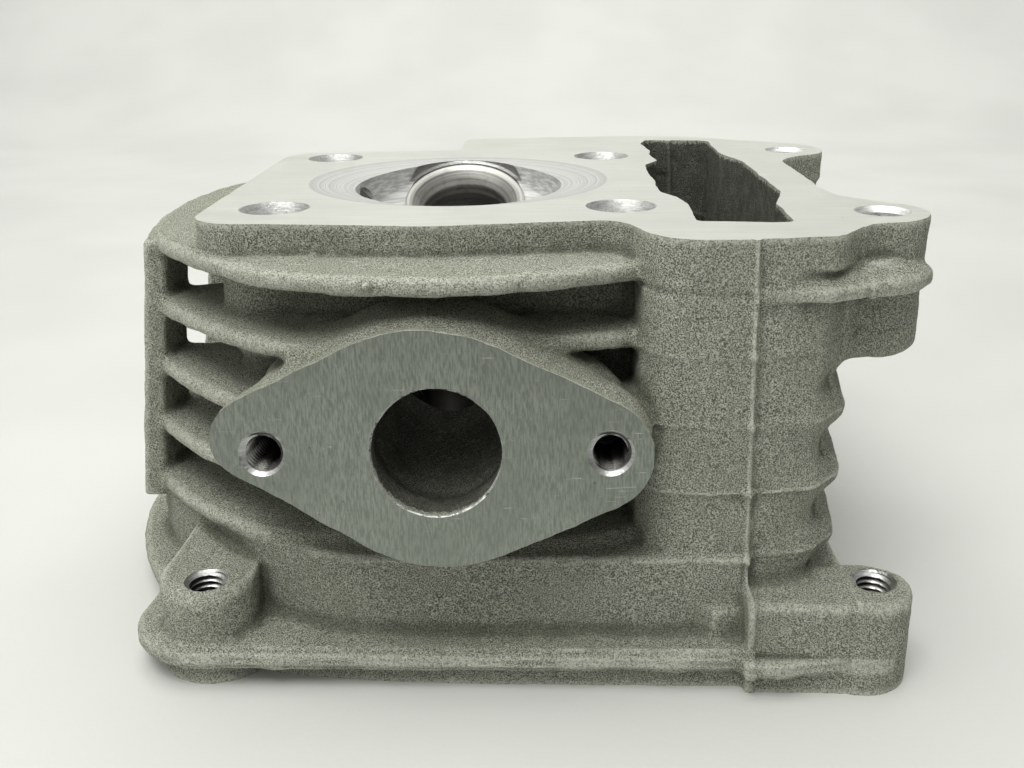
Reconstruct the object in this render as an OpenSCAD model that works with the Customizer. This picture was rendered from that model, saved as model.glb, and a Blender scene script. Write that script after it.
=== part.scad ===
// Cylinder head of a small air-cooled single with one overhead camshaft.
// Bare head: casting, pressed-in valve seats and guides with their clips,
// and the two exhaust studs. Millimetres.
// Origin: centre of the four cylinder studs on the deck face. +Z leaves the
// deck towards the cylinder, -Y is the intake side, +X is the cam-chain side.

/* [Stud pattern] */
// Spacing of the four cylinder studs along X and along Y
stud_pitch = 54; // [53:0.5:55]
// Diameter of the stud clearance holes
stud_hole_d = 9; // [8.5:0.1:9.4]
// Diameter of the countersunk mouth of each stud hole
stud_mouth_d = 11; // [10:0.1:11.5]
// Depth of that countersink
stud_mouth_depth = 2.2; // [1:0.1:3]

/* [Deck] */
// Thickness of the deck plate
deck_t = 5; // [4.5:0.1:5.5]
// Diameter of the side bolt holes in the two deck ears
ear_hole_d = 6.6; // [6.2:0.1:7]
// Depth of the as-cast chain opening's straight part
chain_depth = 52; // [50:1:54]

/* [Combustion chamber] */
// Diameter of the shallow squish cone where it meets the deck
squish_d = 53.2; // [52:0.2:53.4]
// Slope of the squish cone
squish_slope = 8; // [6:0.5:9]
// Radius of the chamber roof
chamber_r = 30; // [29.5:0.1:30.5]
// Half width of the chamber along X
chamber_half_w = 18.4; // [17.5:0.1:19]

/* [Valves] */
// Tilt of each valve axis from the deck's normal
valve_tilt = 27; // [26:0.5:28]
// Outer diameter of the exhaust seat ring
ex_seat_d = 23.2; // [22.6:0.2:23.6]
// Throat diameter of the exhaust seat
ex_throat_d = 16.6; // [16:0.2:17.4]
// Outer diameter of the intake seat ring
in_seat_d = 26; // [25:0.2:26.4]
// Throat diameter of the intake seat
in_throat_d = 19.4; // [18.8:0.2:20]
// Outer diameter of the valve guides
guide_d = 10; // [9.5:0.1:10.5]
// Diameter of the valve stem bore
stem_d = 5; // [4.8:0.05:5.2]

/* [Ports] */
// Diameter of the as-cast intake port
in_port_d = 18; // [17:0.2:18.6]
// Diameter of the exhaust port
ex_port_d = 21; // [20:0.5:22]
// Distance between the two intake flange threads
in_bolt_pitch = 48; // [47:0.5:49]
// Distance between the two exhaust studs
ex_stud_pitch = 45; // [44:0.5:46]
// Diameter of the exhaust studs
ex_stud_d = 8; // [7.8:0.1:8]
// Core diameter of the studs' threaded ends in the casting
ex_stud_core = 6.8; // [6.6:0.1:7]
// Free length of the exhaust studs past the flange face
ex_stud_free = 20; // [16:1:26]

/* [Cooling fins] */
// Thickness of each fin
fin_t = 2.7; // [2.3:0.1:3]
// Distance between fins
fin_pitch = 10.4; // [10.2:0.1:10.5]

/* [Spark plug] */
// Tilt of the plug axis below the deck plane
plug_tilt = 35; // [33:1:37]
// Core diameter of the plug thread
plug_core_d = 9; // [8.8:0.1:9.2]

/* [Hidden] */

cast = [0.62, 0.63, 0.62];
steel = [0.75, 0.75, 0.74];
e = 0.01;

sp = stud_pitch / 2;
z_cover = -67;          // cover gasket face
z_boss = -52;           // top of the cover bolt bosses
z_floor = -50;          // floor of the cam box
fin1_z = -6;            // middle of the first fin
valve_y = 14;           // seat centres from the head's centre line
valve_z = -6.6;
spring_floor = 40;      // from the seat face to the spring pocket's floor
in_face = [0, -58, -28.1];
in_face_tilt = 8;
ex_face = [0, 57, -27];
m6_core = 5;            // core diameter of an M6 thread
cover_left = [-36.4, 51];
cover_right = [64.2, 51];
ear_front = [65.5, -32.5];
ear_rear = [65.5, 33.5];
cam_z = -60;            // camshaft axis

// --- rounded polygons: each corner is [x, y, radius] --------------------
function unit(v) = v / norm(v);
function arc_at(a, b, c, r, n) =
    let (u = unit(a - b), w = unit(c - b), h = acos(u * w) / 2,
         o = b + unit(u + w) * (r / sin(h)),
         p = b + u * (r / tan(h)) - o, q = b + w * (r / tan(h)) - o,
         s = atan2(p.y, p.x), d0 = atan2(q.y, q.x) - s,
         d = d0 > 180 ? d0 - 360 : d0 < -180 ? d0 + 360 : d0)
    [for (i = [0:n]) o + r * [cos(s + d * i / n), sin(s + d * i / n)]];
function xy(p) = [p.x, p.y];
function rounded(p, n = 4) =
    [for (i = [0:len(p) - 1])
        let (a = p[(i + len(p) - 1) % len(p)], b = p[i], c = p[(i + 1) % len(p)])
        each (b[2] > 0 ? arc_at(xy(a), xy(b), xy(c), b[2], n) : [xy(b)])];
// the same outline continued by its mirror image across the X axis
function mirrored(p) = concat(p, [for (i = [len(p) - 1:-1:0])
    [p[i].x, -p[i].y, p[i][2]]]);
function between(a, b, t) = [for (i = [0:len(a) - 1])
    [a[i].x + (b[i].x - a[i].x) * t, a[i].y + (b[i].y - a[i].y) * t, 0]];

module slab(z0, z1, pts, n = 4) {
    translate([0, 0, z0]) linear_extrude(z1 - z0) polygon(rounded(pts, n));
}

// --- outlines seen along Z ----------------------------------------------
deck_outline = [
    [-37.7, -38.4, 8], [-20, -39.6, 0], [-3, -42, 16], [17, -39, 0],
    [25.5, -37.2, 5], [29.5, -47, 4], [34.5, -51.6, 5], [55.5, -50.2, 5],
    [61.5, -40.8, 4], [71.6, -39.4, 6], [72, -29.5, 5], [62.6, -20.5, 3],
    [61.3, -12, 0], [61.3, 16, 0], [62, 24, 4], [72.4, 28.4, 5],
    [71.8, 41.2, 6], [47.5, 56.5, 5], [33, 58.4, 5], [-2, 55.3, 3],
    [-2.1, 35.6, 3], [-37.7, 34.6, 7]];
chain_slot = [
    [36.9, -39.2, 1.5], [51, -40.6, 1.8], [51.2, -26, 3], [54, -16, 3],
    [54, 18, 3], [51.4, 28, 3], [51.4, 49, 2], [38, 50.8, 2],
    [36.4, 45, 1], [37.4, 20, 1.5], [34.5, 14, 1.5], [34.4, -15, 2],
    [37, -21, 1.5]];
block_half = [
    [29.5, -45, 0], [30.6, -49.2, 2], [35, -51.4, 3], [48, -51.2, 0],
    [53.4, -49, 3], [57, -42.5, 4], [60, -29, 0], [61.3, -21, 4]];
// the tunnel's rear end reaches further out than its front end
block_rear = [
    [28.6, 40, 0], [28.9, 50, 3], [31.4, 55.8, 4], [39, 57.2, 5],
    [48, 55.4, 0], [55, 51.5, 4], [58, 42, 5], [60, 29, 0], [61.3, 20, 3],
    [40, 18, 0]];
core_half = [[36, -34, 0], [29, -35.6, 0], [-34.6, -35.6, 6]];
fin_first = [
    [32, -43.9, 0], [22.4, -47.2, 0], [14.2, -50.8, 0], [3.2, -53.2, 0],
    [-8.2, -53, 0], [-16.2, -51.4, 0], [-24.7, -48, 0], [-32.6, -41.8, 0],
    [-41.6, -32.2, 0], [-48.3, -22.4, 0], [-51.6, -10, 0], [-52, -2, 0]];
fin_second = [
    [32, -43, 0], [23, -45.7, 0], [13, -46.8, 0], [4, -49.5, 0],
    [-8.2, -51.4, 0], [-17.5, -50.8, 0], [-24, -48, 0], [-32, -42, 0],
    [-41, -33, 0], [-48.6, -22.6, 0], [-52.4, -10, 0], [-53, -2, 0]];
fin_last = [
    [32, -44.5, 0], [26.5, -47.2, 0], [16, -49.4, 0], [4, -49.2, 0],
    [-10, -47.8, 0], [-20, -47.2, 0], [-27, -46.2, 0], [-34, -42.6, 0],
    [-43, -35, 0], [-50.8, -25, 0], [-54.4, -14, 0], [-55.4, -2, 0]];
cam_box_half = [
    [44, -52.6, 0], [-4, -52.2, 0], [-15, -51.6, 0], [-24, -48.2, 0],
    [-29.6, -45, 0], [-36.4, -38.8, 0], [-43.4, -32, 0], [-50.8, -23.6, 0],
    [-54.6, -14, 0], [-55.6, -2, 0]];
cavity_half = [
    [56.6, -37, 6], [54.2, -46.8, 4], [33, -47.4, 3], [28.5, -46.6, 2],
    [-12, -46.6, 0], [-22, -43.4, 0], [-31.5, -38, 0], [-40.2, -30.6, 0],
    [-46.4, -22, 0], [-50, -12, 0], [-50.8, -2, 0]];
// the cover flange: a long arc round the cam end, and two corner lobes
flange_half = concat(
    [[46, -58.2, 0], [-36, -57.8, 0]],
    [for (a = [-95:-17:-180]) [-37.6 + 11.6 * cos(a), -46.2 + 11.6 * sin(a), 0]],
    [for (a = [218:-9.5:180]) [61.2 * cos(a), 61.2 * sin(a), 0]]);
skirt_half = concat(
    [[46, -56.3, 0], [5, -56, 0], [-10, -55.3, 0], [-22, -54.4, 0],
     [-28.4, -52.6, 0]],
    [for (a = [-38:-26:-168]) [-36.4 + 8.6 * cos(a), -47.4 + 8.6 * sin(a), 0]],
    [for (a = [218:-9.5:180]) [58.4 * cos(a), 58.4 * sin(a), 0]]);
// teardrop round the left cover bolt, its point against the cam box
boss_left = [[-43.4, -30, 0], [-44.3, -55.8, 7], [-30, -55.8, 7],
    [-29.7, -44, 0], [-34, -36, 0]];
boss_right = [[42.6, -57.9, 0], [69.4, -58.4, 6], [69.2, -46.2, 5],
    [57.4, -45.4, 1], [56, -36, 0], [42.6, -44, 0]];
ear_wall = [[58, -42.2, 0], [71.2, -39.2, 6], [71.6, -30, 5], [62.4, -20.6, 2],
    [56, -18, 0]];
ear_bead = [[42, -52.6, 0], [55.6, -51.6, 4], [62, -42.2, 4],
    [72.8, -40.6, 6], [73, -29, 5], [62.8, -19.6, 2], [50, -19, 0],
    [48, -40, 0]];
corner_fin = [[50, -50.4, 0], [54.6, -49.8, 4], [59.6, -44.6, 4],
    [61.4, -34, 3], [62, -24, 2], [58, -22, 0], [50, -40, 0]];
// rib across the fin ends beside the plug's clearance
fin_rib = [[-49.5, -23, 0], [-48.9, -25.4, 0], [-46.6, -25, 0],
    [-45.3, -15.4, 0], [-50.8, -15.4, 0]];
intake_flange = [[-37.4, 2.6, 5.5], [-2, 19.6, 24], [41.3, -0.7, 8],
    [-0.6, -19, 21]];

function lozenge(half_pitch, end_r, tip_r, a = 27) =
    let (d = end_r + half_pitch * sin(a))
    [[d / sin(a), 0, end_r], [0, d / cos(a), tip_r],
     [-d / sin(a), 0, end_r], [0, -d / cos(a), tip_r]];

// --- local frames ---------------------------------------------------------
// seat face of a valve: local +Z looks into the chamber, s = +1 is exhaust
module at_valve(s) {
    translate([0, s * valve_y, valve_z]) rotate([s * valve_tilt, 0, 0])
        children();
}
module at_intake() {
    translate(in_face) rotate([90 - in_face_tilt, 0, 0]) children();
}
module at_exhaust() { translate(ex_face) rotate([-90, 0, 0]) children(); }
// spark plug: local +Z is the way the plug is taken out
module at_plug() {
    translate([-16, 4, -6.4]) rotate([0, -90 - plug_tilt, 0]) children();
}
module both_sides() { children(); mirror([0, 1, 0]) children(); }
module rod(d, z0, z1) { translate([0, 0, z0]) cylinder(d = d, h = z1 - z0, $fn = 48); }
module cone(d0, d1, z0, z1) {
    translate([0, 0, z0]) cylinder(d1 = d0, d2 = d1, h = z1 - z0, $fn = 48);
}

// --- the casting, from the outside in -------------------------------------
module fins() {
    slab(fin1_z - 1.5, fin1_z + 1.4, mirrored(fin_first));
    for (k = [1:4]) let (z = fin1_z - k * fin_pitch)
        slab(z - fin_t / 2, z + fin_t / 2,
             mirrored(between(fin_second, fin_last, (k - 1) / 3)));
    // ribs that tie the fin ends together, leaning out towards the cam box
    both_sides() translate([-48, 0, -5.6]) rotate([0, 7.3, 0])
        translate([48, 0, 0]) slab(-45, 0, fin_rib);
    both_sides() for (k = [2:4]) let (z = fin1_z - k * fin_pitch)
        slab(z - 1.9, z + 1.9, corner_fin);
}

module outer_body() {
    slab(-deck_t, 0, deck_outline);
    fins();
    slab(-17, -3, mirrored(core_half));
    slab(-51, -3, [[36, -26, 0], [-32, -26, 5], [-32, 26, 5], [36, 26, 0]]);
    for (x = [-1, 1], y = [-1, 1]) translate([x * sp, y * sp, 0])
        rod(16, -51, -3);
    slab(-60, -3.5, mirrored(block_half));
    slab(-60, -3.5, block_rear);
    slab(-66, -46.6, mirrored(cam_box_half));
    // cover flange and the narrower band under it that carries the gasket face
    slab(-64, -60, mirrored(flange_half));
    slab(z_cover, -63, mirrored(skirt_half));
    slab(z_cover, -55, [[40, -54, 0], [56, -52, 4], [62.8, -40, 4],
        [62.8, 40, 4], [56, 52, 4], [40, 54, 0]]);
    both_sides() {
        slab(-61, z_boss, boss_left);
        slab(z_cover, z_boss, boss_right);
        // short tail of the flange bead on the ear's front face
        slab(-63.6, -60.6, [[42, -58.8, 0], [47, -59.2, 0], [53, -57.2, 0],
            [42, -54, 0]]);
        slab(-21, -3, ear_wall);
        slab(-10.2, -7.4, ear_bead);
    }
    translate([ear_front.x, ear_front.y, 0]) rod(13, -21, -2);
    translate([ear_rear.x, ear_rear.y, 0]) rod(13, -21, -2);
    // vertical casting seam on the front of the chain tunnel
    translate([43.6, -52.2, -63]) cube([1.1, 2, 61]);
    // intake neck and flange
    at_intake() {
        translate([0, 0, -12]) linear_extrude(12)
            polygon(rounded(intake_flange, 8));
        rod(31, -26, -6);
        rod(13, -24, -6);
        for (s = [-1, 1]) translate([s * 20, 0, 0]) rod(13.6, -22, -6);
    }
    // exhaust neck and flange
    at_exhaust() {
        translate([0, 0, -12]) linear_extrude(12)
            polygon(rounded(lozenge(ex_stud_pitch / 2, 9, 14), 8));
        rod(33, -30, -6);
        for (s = [-1, 1]) translate([s * ex_stud_pitch / 2, 0, 0])
            rod(16, -22, -6);
    }
}

module cam_box_space() {
    slab(z_cover - 1, z_floor, mirrored(cavity_half));
    slab(-chain_depth, 1, chain_slot);
}

module inside_bosses() {
    // stud bosses that carry the cam holder
    for (x = [-1, 1], y = [-1, 1]) translate([x * sp, y * sp, 0])
        rod(17, -57, -48);
    // half-round camshaft saddles
    slab(-58, -48, [[-34, -22, 2], [-24, -22, 2], [-24, 22, 2], [-34, 22, 2]]);
    slab(-58, -48, [[22, -24, 2], [33, -24, 2], [33, 24, 2], [22, 24, 2]]);
    // columns behind the cover bolts
    both_sides() {
        slab(z_cover, z_boss - 0.5, [[-43.5, -40, 0], [-43.6, -52, 5],
            [-30, -52, 0], [-29.4, -42.6, 5]]);
        slab(z_cover, z_boss - 0.5, [[57, -41, 0], [50, -44.5, 3],
            [50, -54, 0], [60, -54, 0]]);
        slab(z_boss - 1, -49, [[56, -41, 0], [50, -44.5, 3], [50, -49.6, 0],
            [53, -48.4, 0]]);
    }
}

module chamber_space() {
    squish_h = (squish_d / 2 - 15) * tan(squish_slope);
    translate([0, 0, -squish_h])
        cylinder(r1 = 15, r2 = squish_d / 2 + 0.5 / tan(squish_slope),
                 h = squish_h + 0.5, $fn = 96);
    lens_r = (24.5 * 24.5 + chamber_half_w * chamber_half_w) / (2 * chamber_half_w);
    intersection() {
        translate([0, 0, chamber_r - 13.4]) sphere(r = chamber_r, $fn = 96);
        translate([lens_r - chamber_half_w, 0, -20])
            cylinder(r = lens_r, h = 20.5, $fn = 96);
        translate([chamber_half_w - lens_r, 0, -20])
            cylinder(r = lens_r, h = 20.5, $fn = 96);
    }
}

module valve_side(s, seat_d, throat_d, spring_d) {
    at_valve(s) {
        rod(seat_d, -6, 26);
        rod(throat_d + 0.8, -13, -5);
        rod(guide_d, -52, -18);
        rod(spring_d, -56, -spring_floor);
    }
}

module drilled_holes() {
    for (x = [-1, 1], y = [-1, 1]) translate([x * sp, y * sp, 0]) {
        rod(stud_hole_d, -60, 1);
        cone(stud_hole_d, stud_mouth_d
             + (stud_mouth_d - stud_hole_d) * 0.5 / stud_mouth_depth,
             -stud_mouth_depth, 0.5);
    }
    for (p = [ear_front, ear_rear]) translate([p.x, p.y, 0]) {
        rod(ear_hole_d, -22, 1);
        cone(ear_hole_d, 9.3, -0.85, 0.5);
    }
    both_sides() {
        translate([cover_left.x, -cover_left.y, 0]) rod(m6_core, -68, -51);
        translate([cover_right.x, -cover_right.y, 0]) rod(m6_core, -68, -51);
        translate([cover_left.x, -cover_left.y, 0]) cone(6.4, 6.6, -52.5, -51.9);
    }
    at_intake() for (s = [-1, 1]) translate([s * in_bolt_pitch / 2, 0, 0]) {
        rod(m6_core, -14, 1);
        cone(m6_core, 8.2, -0.8, 0.8);
    }
    at_exhaust() for (s = [-1, 1])
        translate([s * ex_stud_pitch / 2, 0, 0]) rod(ex_stud_core, -15, 1);
    at_plug() {
        rod(plug_core_d, -12, 14);
        rod(22, 13, 60);
    }
    // clearance for the plug and its cap in the second and third fins
    translate([-70, -16, -33]) cube([32, 32, 24.3]);
}

// round bar from point p to point q
module bar(p, q, d) {
    v = q - p;
    translate(p) rotate([0, acos(v.z / norm(v)), atan2(v.y, v.x)])
        cylinder(d = d, h = norm(v), $fn = 48);
}

// centre of the pocket under a valve seat, on the valve's axis
function bowl(s) = [0, s * (valve_y + 14 * sin(valve_tilt)),
                    valve_z - 14 * cos(valve_tilt)];

module ports() {
    // intake: straight in from the flange, then up to the throat
    at_intake() rod(in_port_d, -9, 1);
    in_elbow = in_face + 5 * [0, cos(in_face_tilt), -sin(in_face_tilt)];
    bar(in_elbow, bowl(-1), in_port_d - 0.8);
    translate(bowl(-1)) sphere(d = in_throat_d + 3, $fn = 48);
    // exhaust
    at_exhaust() { rod(ex_port_d, -9, 1); rod(ex_port_d + 7, -2.5, 1); }
    ex_elbow = ex_face - [0, 5, 0];
    bar(ex_elbow, bowl(1), ex_port_d - 3);
    translate(bowl(1)) sphere(d = ex_throat_d + 4, $fn = 48);
}

module head_casting() {
    color(cast) difference() {
        union() {
            difference() { outer_body(); cam_box_space(); }
            inside_bosses();
        }
        chamber_space();
        ports();
        valve_side(1, ex_seat_d, ex_throat_d, 22);
        valve_side(-1, in_seat_d, in_throat_d, 22);
        drilled_holes();
        // camshaft bearing bores
        translate([-35, 0, cam_z]) rotate([0, 90, 0])
            cylinder(d = 30, h = 12, $fn = 64);
        translate([21, 0, cam_z]) rotate([0, 90, 0])
            cylinder(d = 36, h = 14, $fn = 64);
    }
}

module valve_seat(s, outer_d, throat_d) {
    color(steel) at_valve(s) difference() {
        rod(outer_d, -6, 0.5);
        rod(throat_d, -7, 1);
        cone(throat_d - 0.2, throat_d + 4.4, -1.8, 0.51);
    }
}
module exhaust_valve_seat() { valve_seat(1, ex_seat_d, ex_throat_d); }
module intake_valve_seat() { valve_seat(-1, in_seat_d, in_throat_d); }

module valve_guide(s) {
    color([0.55, 0.5, 0.42]) at_valve(s) difference() {
        union() {
            rod(guide_d, -50, -22);
            cone(guide_d - 2.4, guide_d, -51.5, -50);
        }
        rod(stem_d, -53, -12);
        // groove for the clip, just above the spring floor
        difference() {
            rod(guide_d + 4, -spring_floor - 1.2, -spring_floor);
            rod(guide_d - 1.4, -spring_floor - 2, -spring_floor + 1);
        }
    }
}
module exhaust_valve_guide() { valve_guide(1); }
module intake_valve_guide() { valve_guide(-1); }

module guide_clip(s) {
    color(steel) at_valve(s) translate([0, 0, -spring_floor - 0.6])
        rotate_extrude(angle = 300, $fn = 64)
            translate([guide_d / 2 - 0.15, 0]) circle(d = 1.1, $fn = 24);
}
module exhaust_guide_clip() { guide_clip(1); }
module intake_guide_clip() { guide_clip(-1); }

module exhaust_stud(s) {
    color(steel) at_exhaust() translate([s * ex_stud_pitch / 2, 0, 0]) {
        rod(ex_stud_core, -14, 0.6);
        rod(ex_stud_d, 0.6, ex_stud_free - 1);
        cone(ex_stud_d, ex_stud_d - 1.6, ex_stud_free - 1, ex_stud_free);
    }
}
module exhaust_stud_left() { exhaust_stud(-1); }
module exhaust_stud_right() { exhaust_stud(1); }

head_casting();
exhaust_valve_seat();
intake_valve_seat();
exhaust_valve_guide();
intake_valve_guide();
exhaust_guide_clip();
intake_guide_clip();
exhaust_stud_left();
exhaust_stud_right();
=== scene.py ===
# Looks for the bare cylinder head. The casting's visible skin is grown from the
# same outlines as the CAD, as a distance field in millimetres, so that every cast
# edge and corner is rounded and filleted. It is then machined with crisp cutters,
# as the real one is. Seats, guides, clips and studs are turned shapes.
import math
import bmesh
import bpy
import numpy as np
import openvdb
from mathutils import Matrix, Vector


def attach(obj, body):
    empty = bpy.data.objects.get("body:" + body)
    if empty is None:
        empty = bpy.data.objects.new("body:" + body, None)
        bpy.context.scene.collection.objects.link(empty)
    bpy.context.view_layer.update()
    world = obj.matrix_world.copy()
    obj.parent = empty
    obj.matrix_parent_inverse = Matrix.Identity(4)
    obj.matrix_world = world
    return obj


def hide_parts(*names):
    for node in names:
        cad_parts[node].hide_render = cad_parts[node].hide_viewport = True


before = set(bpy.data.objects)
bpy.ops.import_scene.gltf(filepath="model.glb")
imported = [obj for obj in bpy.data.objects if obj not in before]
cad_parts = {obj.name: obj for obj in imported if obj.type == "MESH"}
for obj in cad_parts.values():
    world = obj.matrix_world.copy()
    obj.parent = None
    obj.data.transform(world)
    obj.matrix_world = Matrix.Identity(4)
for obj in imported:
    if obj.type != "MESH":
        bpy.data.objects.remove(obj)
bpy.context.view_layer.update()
H = 0.38
MM = 0.001

# ---------------------------------------------------------------- 2-D outlines


def corner(a, b, c, r, n):
    a, b, c = (np.array(p[:2], float) for p in (a, b, c))
    u = (a - b) / np.linalg.norm(a - b)
    w = (c - b) / np.linalg.norm(c - b)
    half = math.acos(np.clip(u @ w, -1, 1)) / 2
    m = (u + w) / np.linalg.norm(u + w)
    o = b + m * (r / math.sin(half))
    p, q = b + u * (r / math.tan(half)) - o, b + w * (r / math.tan(half)) - o
    s = math.atan2(p[1], p[0])
    d = (math.atan2(q[1], q[0]) - s + math.pi) % (2 * math.pi) - math.pi
    return [o + r * np.array([math.cos(s + d * i / n), math.sin(s + d * i / n)]) for i in range(n + 1)]


def rounded(p, n=6):
    out = []
    for i in range(len(p)):
        r = p[i][2] if len(p[i]) > 2 else 0
        if r > 0:
            out += corner(p[i - 1], p[i], p[(i + 1) % len(p)], r, n)
        else:
            out.append(np.array(p[i][:2], float))
    return np.array(out)


def mirrored(p):
    return list(p) + [(q[0], -q[1]) + tuple(q[2:]) for q in reversed(p)]


def between(a, b, t):
    return [(p[0] + (q[0] - p[0]) * t, p[1] + (q[1] - p[1]) * t) for p, q in zip(a, b)]


def smooth_line(p, n=6):
    """A Catmull-Rom line through open points."""
    p = [np.array(q[:2], float) for q in p]
    p = [2 * p[0] - p[1]] + p + [2 * p[-1] - p[-2]]
    out = []
    for i in range(1, len(p) - 2):
        for j in range(n):
            t = j / n
            out.append(0.5 * (2 * p[i] + (p[i + 1] - p[i - 1]) * t
                              + (2 * p[i - 1] - 5 * p[i] + 4 * p[i + 1] - p[i + 2]) * t * t
                              + (3 * p[i] - p[i - 1] - 3 * p[i + 1] + p[i + 2]) * t ** 3))
    out.append(p[-2])
    return [tuple(q) for q in out]


def poly_distance(P, X, Y):
    """Signed distance to a closed outline, negative inside."""
    best = None
    inside = None
    n = len(P)
    for i in range(n):
        ax, ay = P[i]
        bx, by = P[(i + 1) % n]
        ex, ey = bx - ax, by - ay
        ll = ex * ex + ey * ey
        if ll < 1e-12:
            continue
        wx, wy = X - np.float32(ax), Y - np.float32(ay)
        t = np.clip((wx * np.float32(ex) + wy * np.float32(ey)) / np.float32(ll), 0, 1)
        dx, dy = wx - np.float32(ex) * t, wy - np.float32(ey) * t
        d = dx * dx + dy * dy
        best = d if best is None else np.minimum(best, d)
        cross = (np.float32(ay) > Y) != (np.float32(by) > Y)
        if abs(ey) > 1e-12:
            hit = cross & (X < np.float32(ex) * (Y - np.float32(ay)) / np.float32(ey) + np.float32(ax))
            inside = hit if inside is None else inside ^ hit
    d = np.sqrt(best)
    return np.where(inside, -d, d).astype(np.float32)


# ---------------------------------------------------------------- distance field


def smin(a, b, k):
    if k <= 0:
        return np.minimum(a, b)
    h = np.maximum(k - np.abs(a - b), 0) / k
    return np.minimum(a, b) - h * h * np.float32(k * 0.25)


class Field:
    def __init__(self, lo, hi, h):
        self.h = h
        self.lo = np.array(lo, float)
        self.ax = [np.arange(l, u, h).astype(np.float32) for l, u in zip(lo, hi)]
        self.F = np.full([len(a) for a in self.ax], 6.0, np.float32)

    def window(self, lo, hi):
        s, out = [], []
        for i in range(3):
            a = self.ax[i]
            j0 = int(np.searchsorted(a, lo[i]))
            j1 = int(np.searchsorted(a, hi[i]))
            s.append(slice(j0, max(j1, j0 + 1)))
            sh = [1, 1, 1]
            sh[i] = -1
            out.append(a[s[-1]].reshape(sh))
        return tuple(s), out

    def put(self, s, d, k, cut):
        if cut:
            self.F[s] = -smin(-self.F[s], d, k)
        else:
            self.F[s] = smin(self.F[s], d, k)

    def slab(self, pts, z0, z1, r=0.8, k=1.6, n=6, taper=0.0, cut=False, grow=0.0, closed=True, lean=0.0, rise=0.0):
        P = rounded(pts, n) if closed else np.array(pts, float)
        pad = k + 1.5 + max(grow, 0) + abs(lean) * (z1 - z0)
        s, (X, Y, Z) = self.window((P[:, 0].min() - pad, P[:, 1].min() - pad, z0 - pad),
                                   (P[:, 0].max() + pad, P[:, 1].max() + pad, z1 + pad))
        if lean:
            X = X + np.float32(lean) * (np.float32(z1) - Z)
        d2 = poly_distance(P, X, Y) - np.float32(grow)
        w = np.abs(Z - np.float32((z0 + z1) / 2)) - np.float32((z1 - z0) / 2)
        if taper:
            w = w - np.float32(taper) * np.clip(-d2, 0, 14)
        if rise:
            w = np.maximum(Z - np.float32(z1) - np.float32(rise) * np.clip(-d2, 0, 6), np.float32(z0) - Z)
        r = r(X, Y).astype(np.float32) if callable(r) else np.float32(r)
        q, w = d2 + r, w + r
        d = np.minimum(np.maximum(q, w), 0) + np.hypot(np.maximum(q, 0), np.maximum(w, 0)) - r
        self.put(s, d, k, cut)

    def local(self, M, lo, hi):
        """Field window around a local box, with local coordinates there."""
        c = [M @ Vector((x, y, z)) for x in (lo[0], hi[0]) for y in (lo[1], hi[1]) for z in (lo[2], hi[2])]
        s, (X, Y, Z) = self.window([min(p[i] for p in c) for i in range(3)],
                                   [max(p[i] for p in c) for i in range(3)])
        R = np.array(M.to_3x3(), np.float32)
        o = np.array(M.translation, np.float32)
        X, Y, Z = X - o[0], Y - o[1], Z - o[2]
        return s, [X * R[0, i] + Y * R[1, i] + Z * R[2, i] for i in range(3)]

    def plate(self, M, pts, z0, z1, r=0.8, k=1.6, n=6, cut=False, taper=0.0):
        P = rounded(pts, n)
        pad = k + 1.5
        s, (x, y, z) = self.local(M, (P[:, 0].min() - pad, P[:, 1].min() - pad, z0 - pad),
                                  (P[:, 0].max() + pad, P[:, 1].max() + pad, z1 + pad))
        d2 = poly_distance(P, x, y)
        if taper:
            d2 = d2 + np.float32(taper) * np.clip(np.float32(z1) - z, 0, 14)
        w = np.abs(z - np.float32((z0 + z1) / 2)) - np.float32((z1 - z0) / 2)
        q, w = d2 + np.float32(r), w + np.float32(r)
        d = np.minimum(np.maximum(q, w), 0) + np.hypot(np.maximum(q, 0), np.maximum(w, 0)) - np.float32(r)
        self.put(s, d, k, cut)

    def rod(self, M, d0, z0, z1, r=0.5, k=1.6, cut=False, d1=None):
        """Cylinder or cone along local Z from z0 to z1."""
        d1 = d0 if d1 is None else d1
        pad = k + 1.5
        R = max(d0, d1) / 2 + pad
        s, (x, y, z) = self.local(M, (-R, -R, z0 - pad), (R, R, z1 + pad))
        t = np.clip((z - np.float32(z0)) / np.float32(z1 - z0), 0, 1)
        d2 = np.hypot(x, y) - np.float32(d0 / 2) - t * np.float32((d1 - d0) / 2)
        w = np.abs(z - np.float32((z0 + z1) / 2)) - np.float32((z1 - z0) / 2)
        q, w = d2 + np.float32(r), w + np.float32(r)
        d = np.minimum(np.maximum(q, w), 0) + np.hypot(np.maximum(q, 0), np.maximum(w, 0)) - np.float32(r)
        self.put(s, d, k, cut)

    def ball(self, c, d, k=1.6, cut=False):
        pad = k + 1.5 + d / 2
        s, (X, Y, Z) = self.window([v - pad for v in c], [v + pad for v in c])
        D = np.sqrt((X - np.float32(c[0])) ** 2 + (Y - np.float32(c[1])) ** 2 + (Z - np.float32(c[2])) ** 2) - np.float32(d / 2)
        self.put(s, D, k, cut)


def at(x=0, y=0, z=0, rx=0, ry=0, rz=0):
    return (Matrix.Translation((x, y, z)) @ Matrix.Rotation(math.radians(rz), 4, "Z")
            @ Matrix.Rotation(math.radians(ry), 4, "Y") @ Matrix.Rotation(math.radians(rx), 4, "X"))


def aim(p, q):
    v = Vector(q) - Vector(p)
    return Matrix.Translation(p) @ v.to_track_quat("Z", "Y").to_matrix().to_4x4(), v.length


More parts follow.
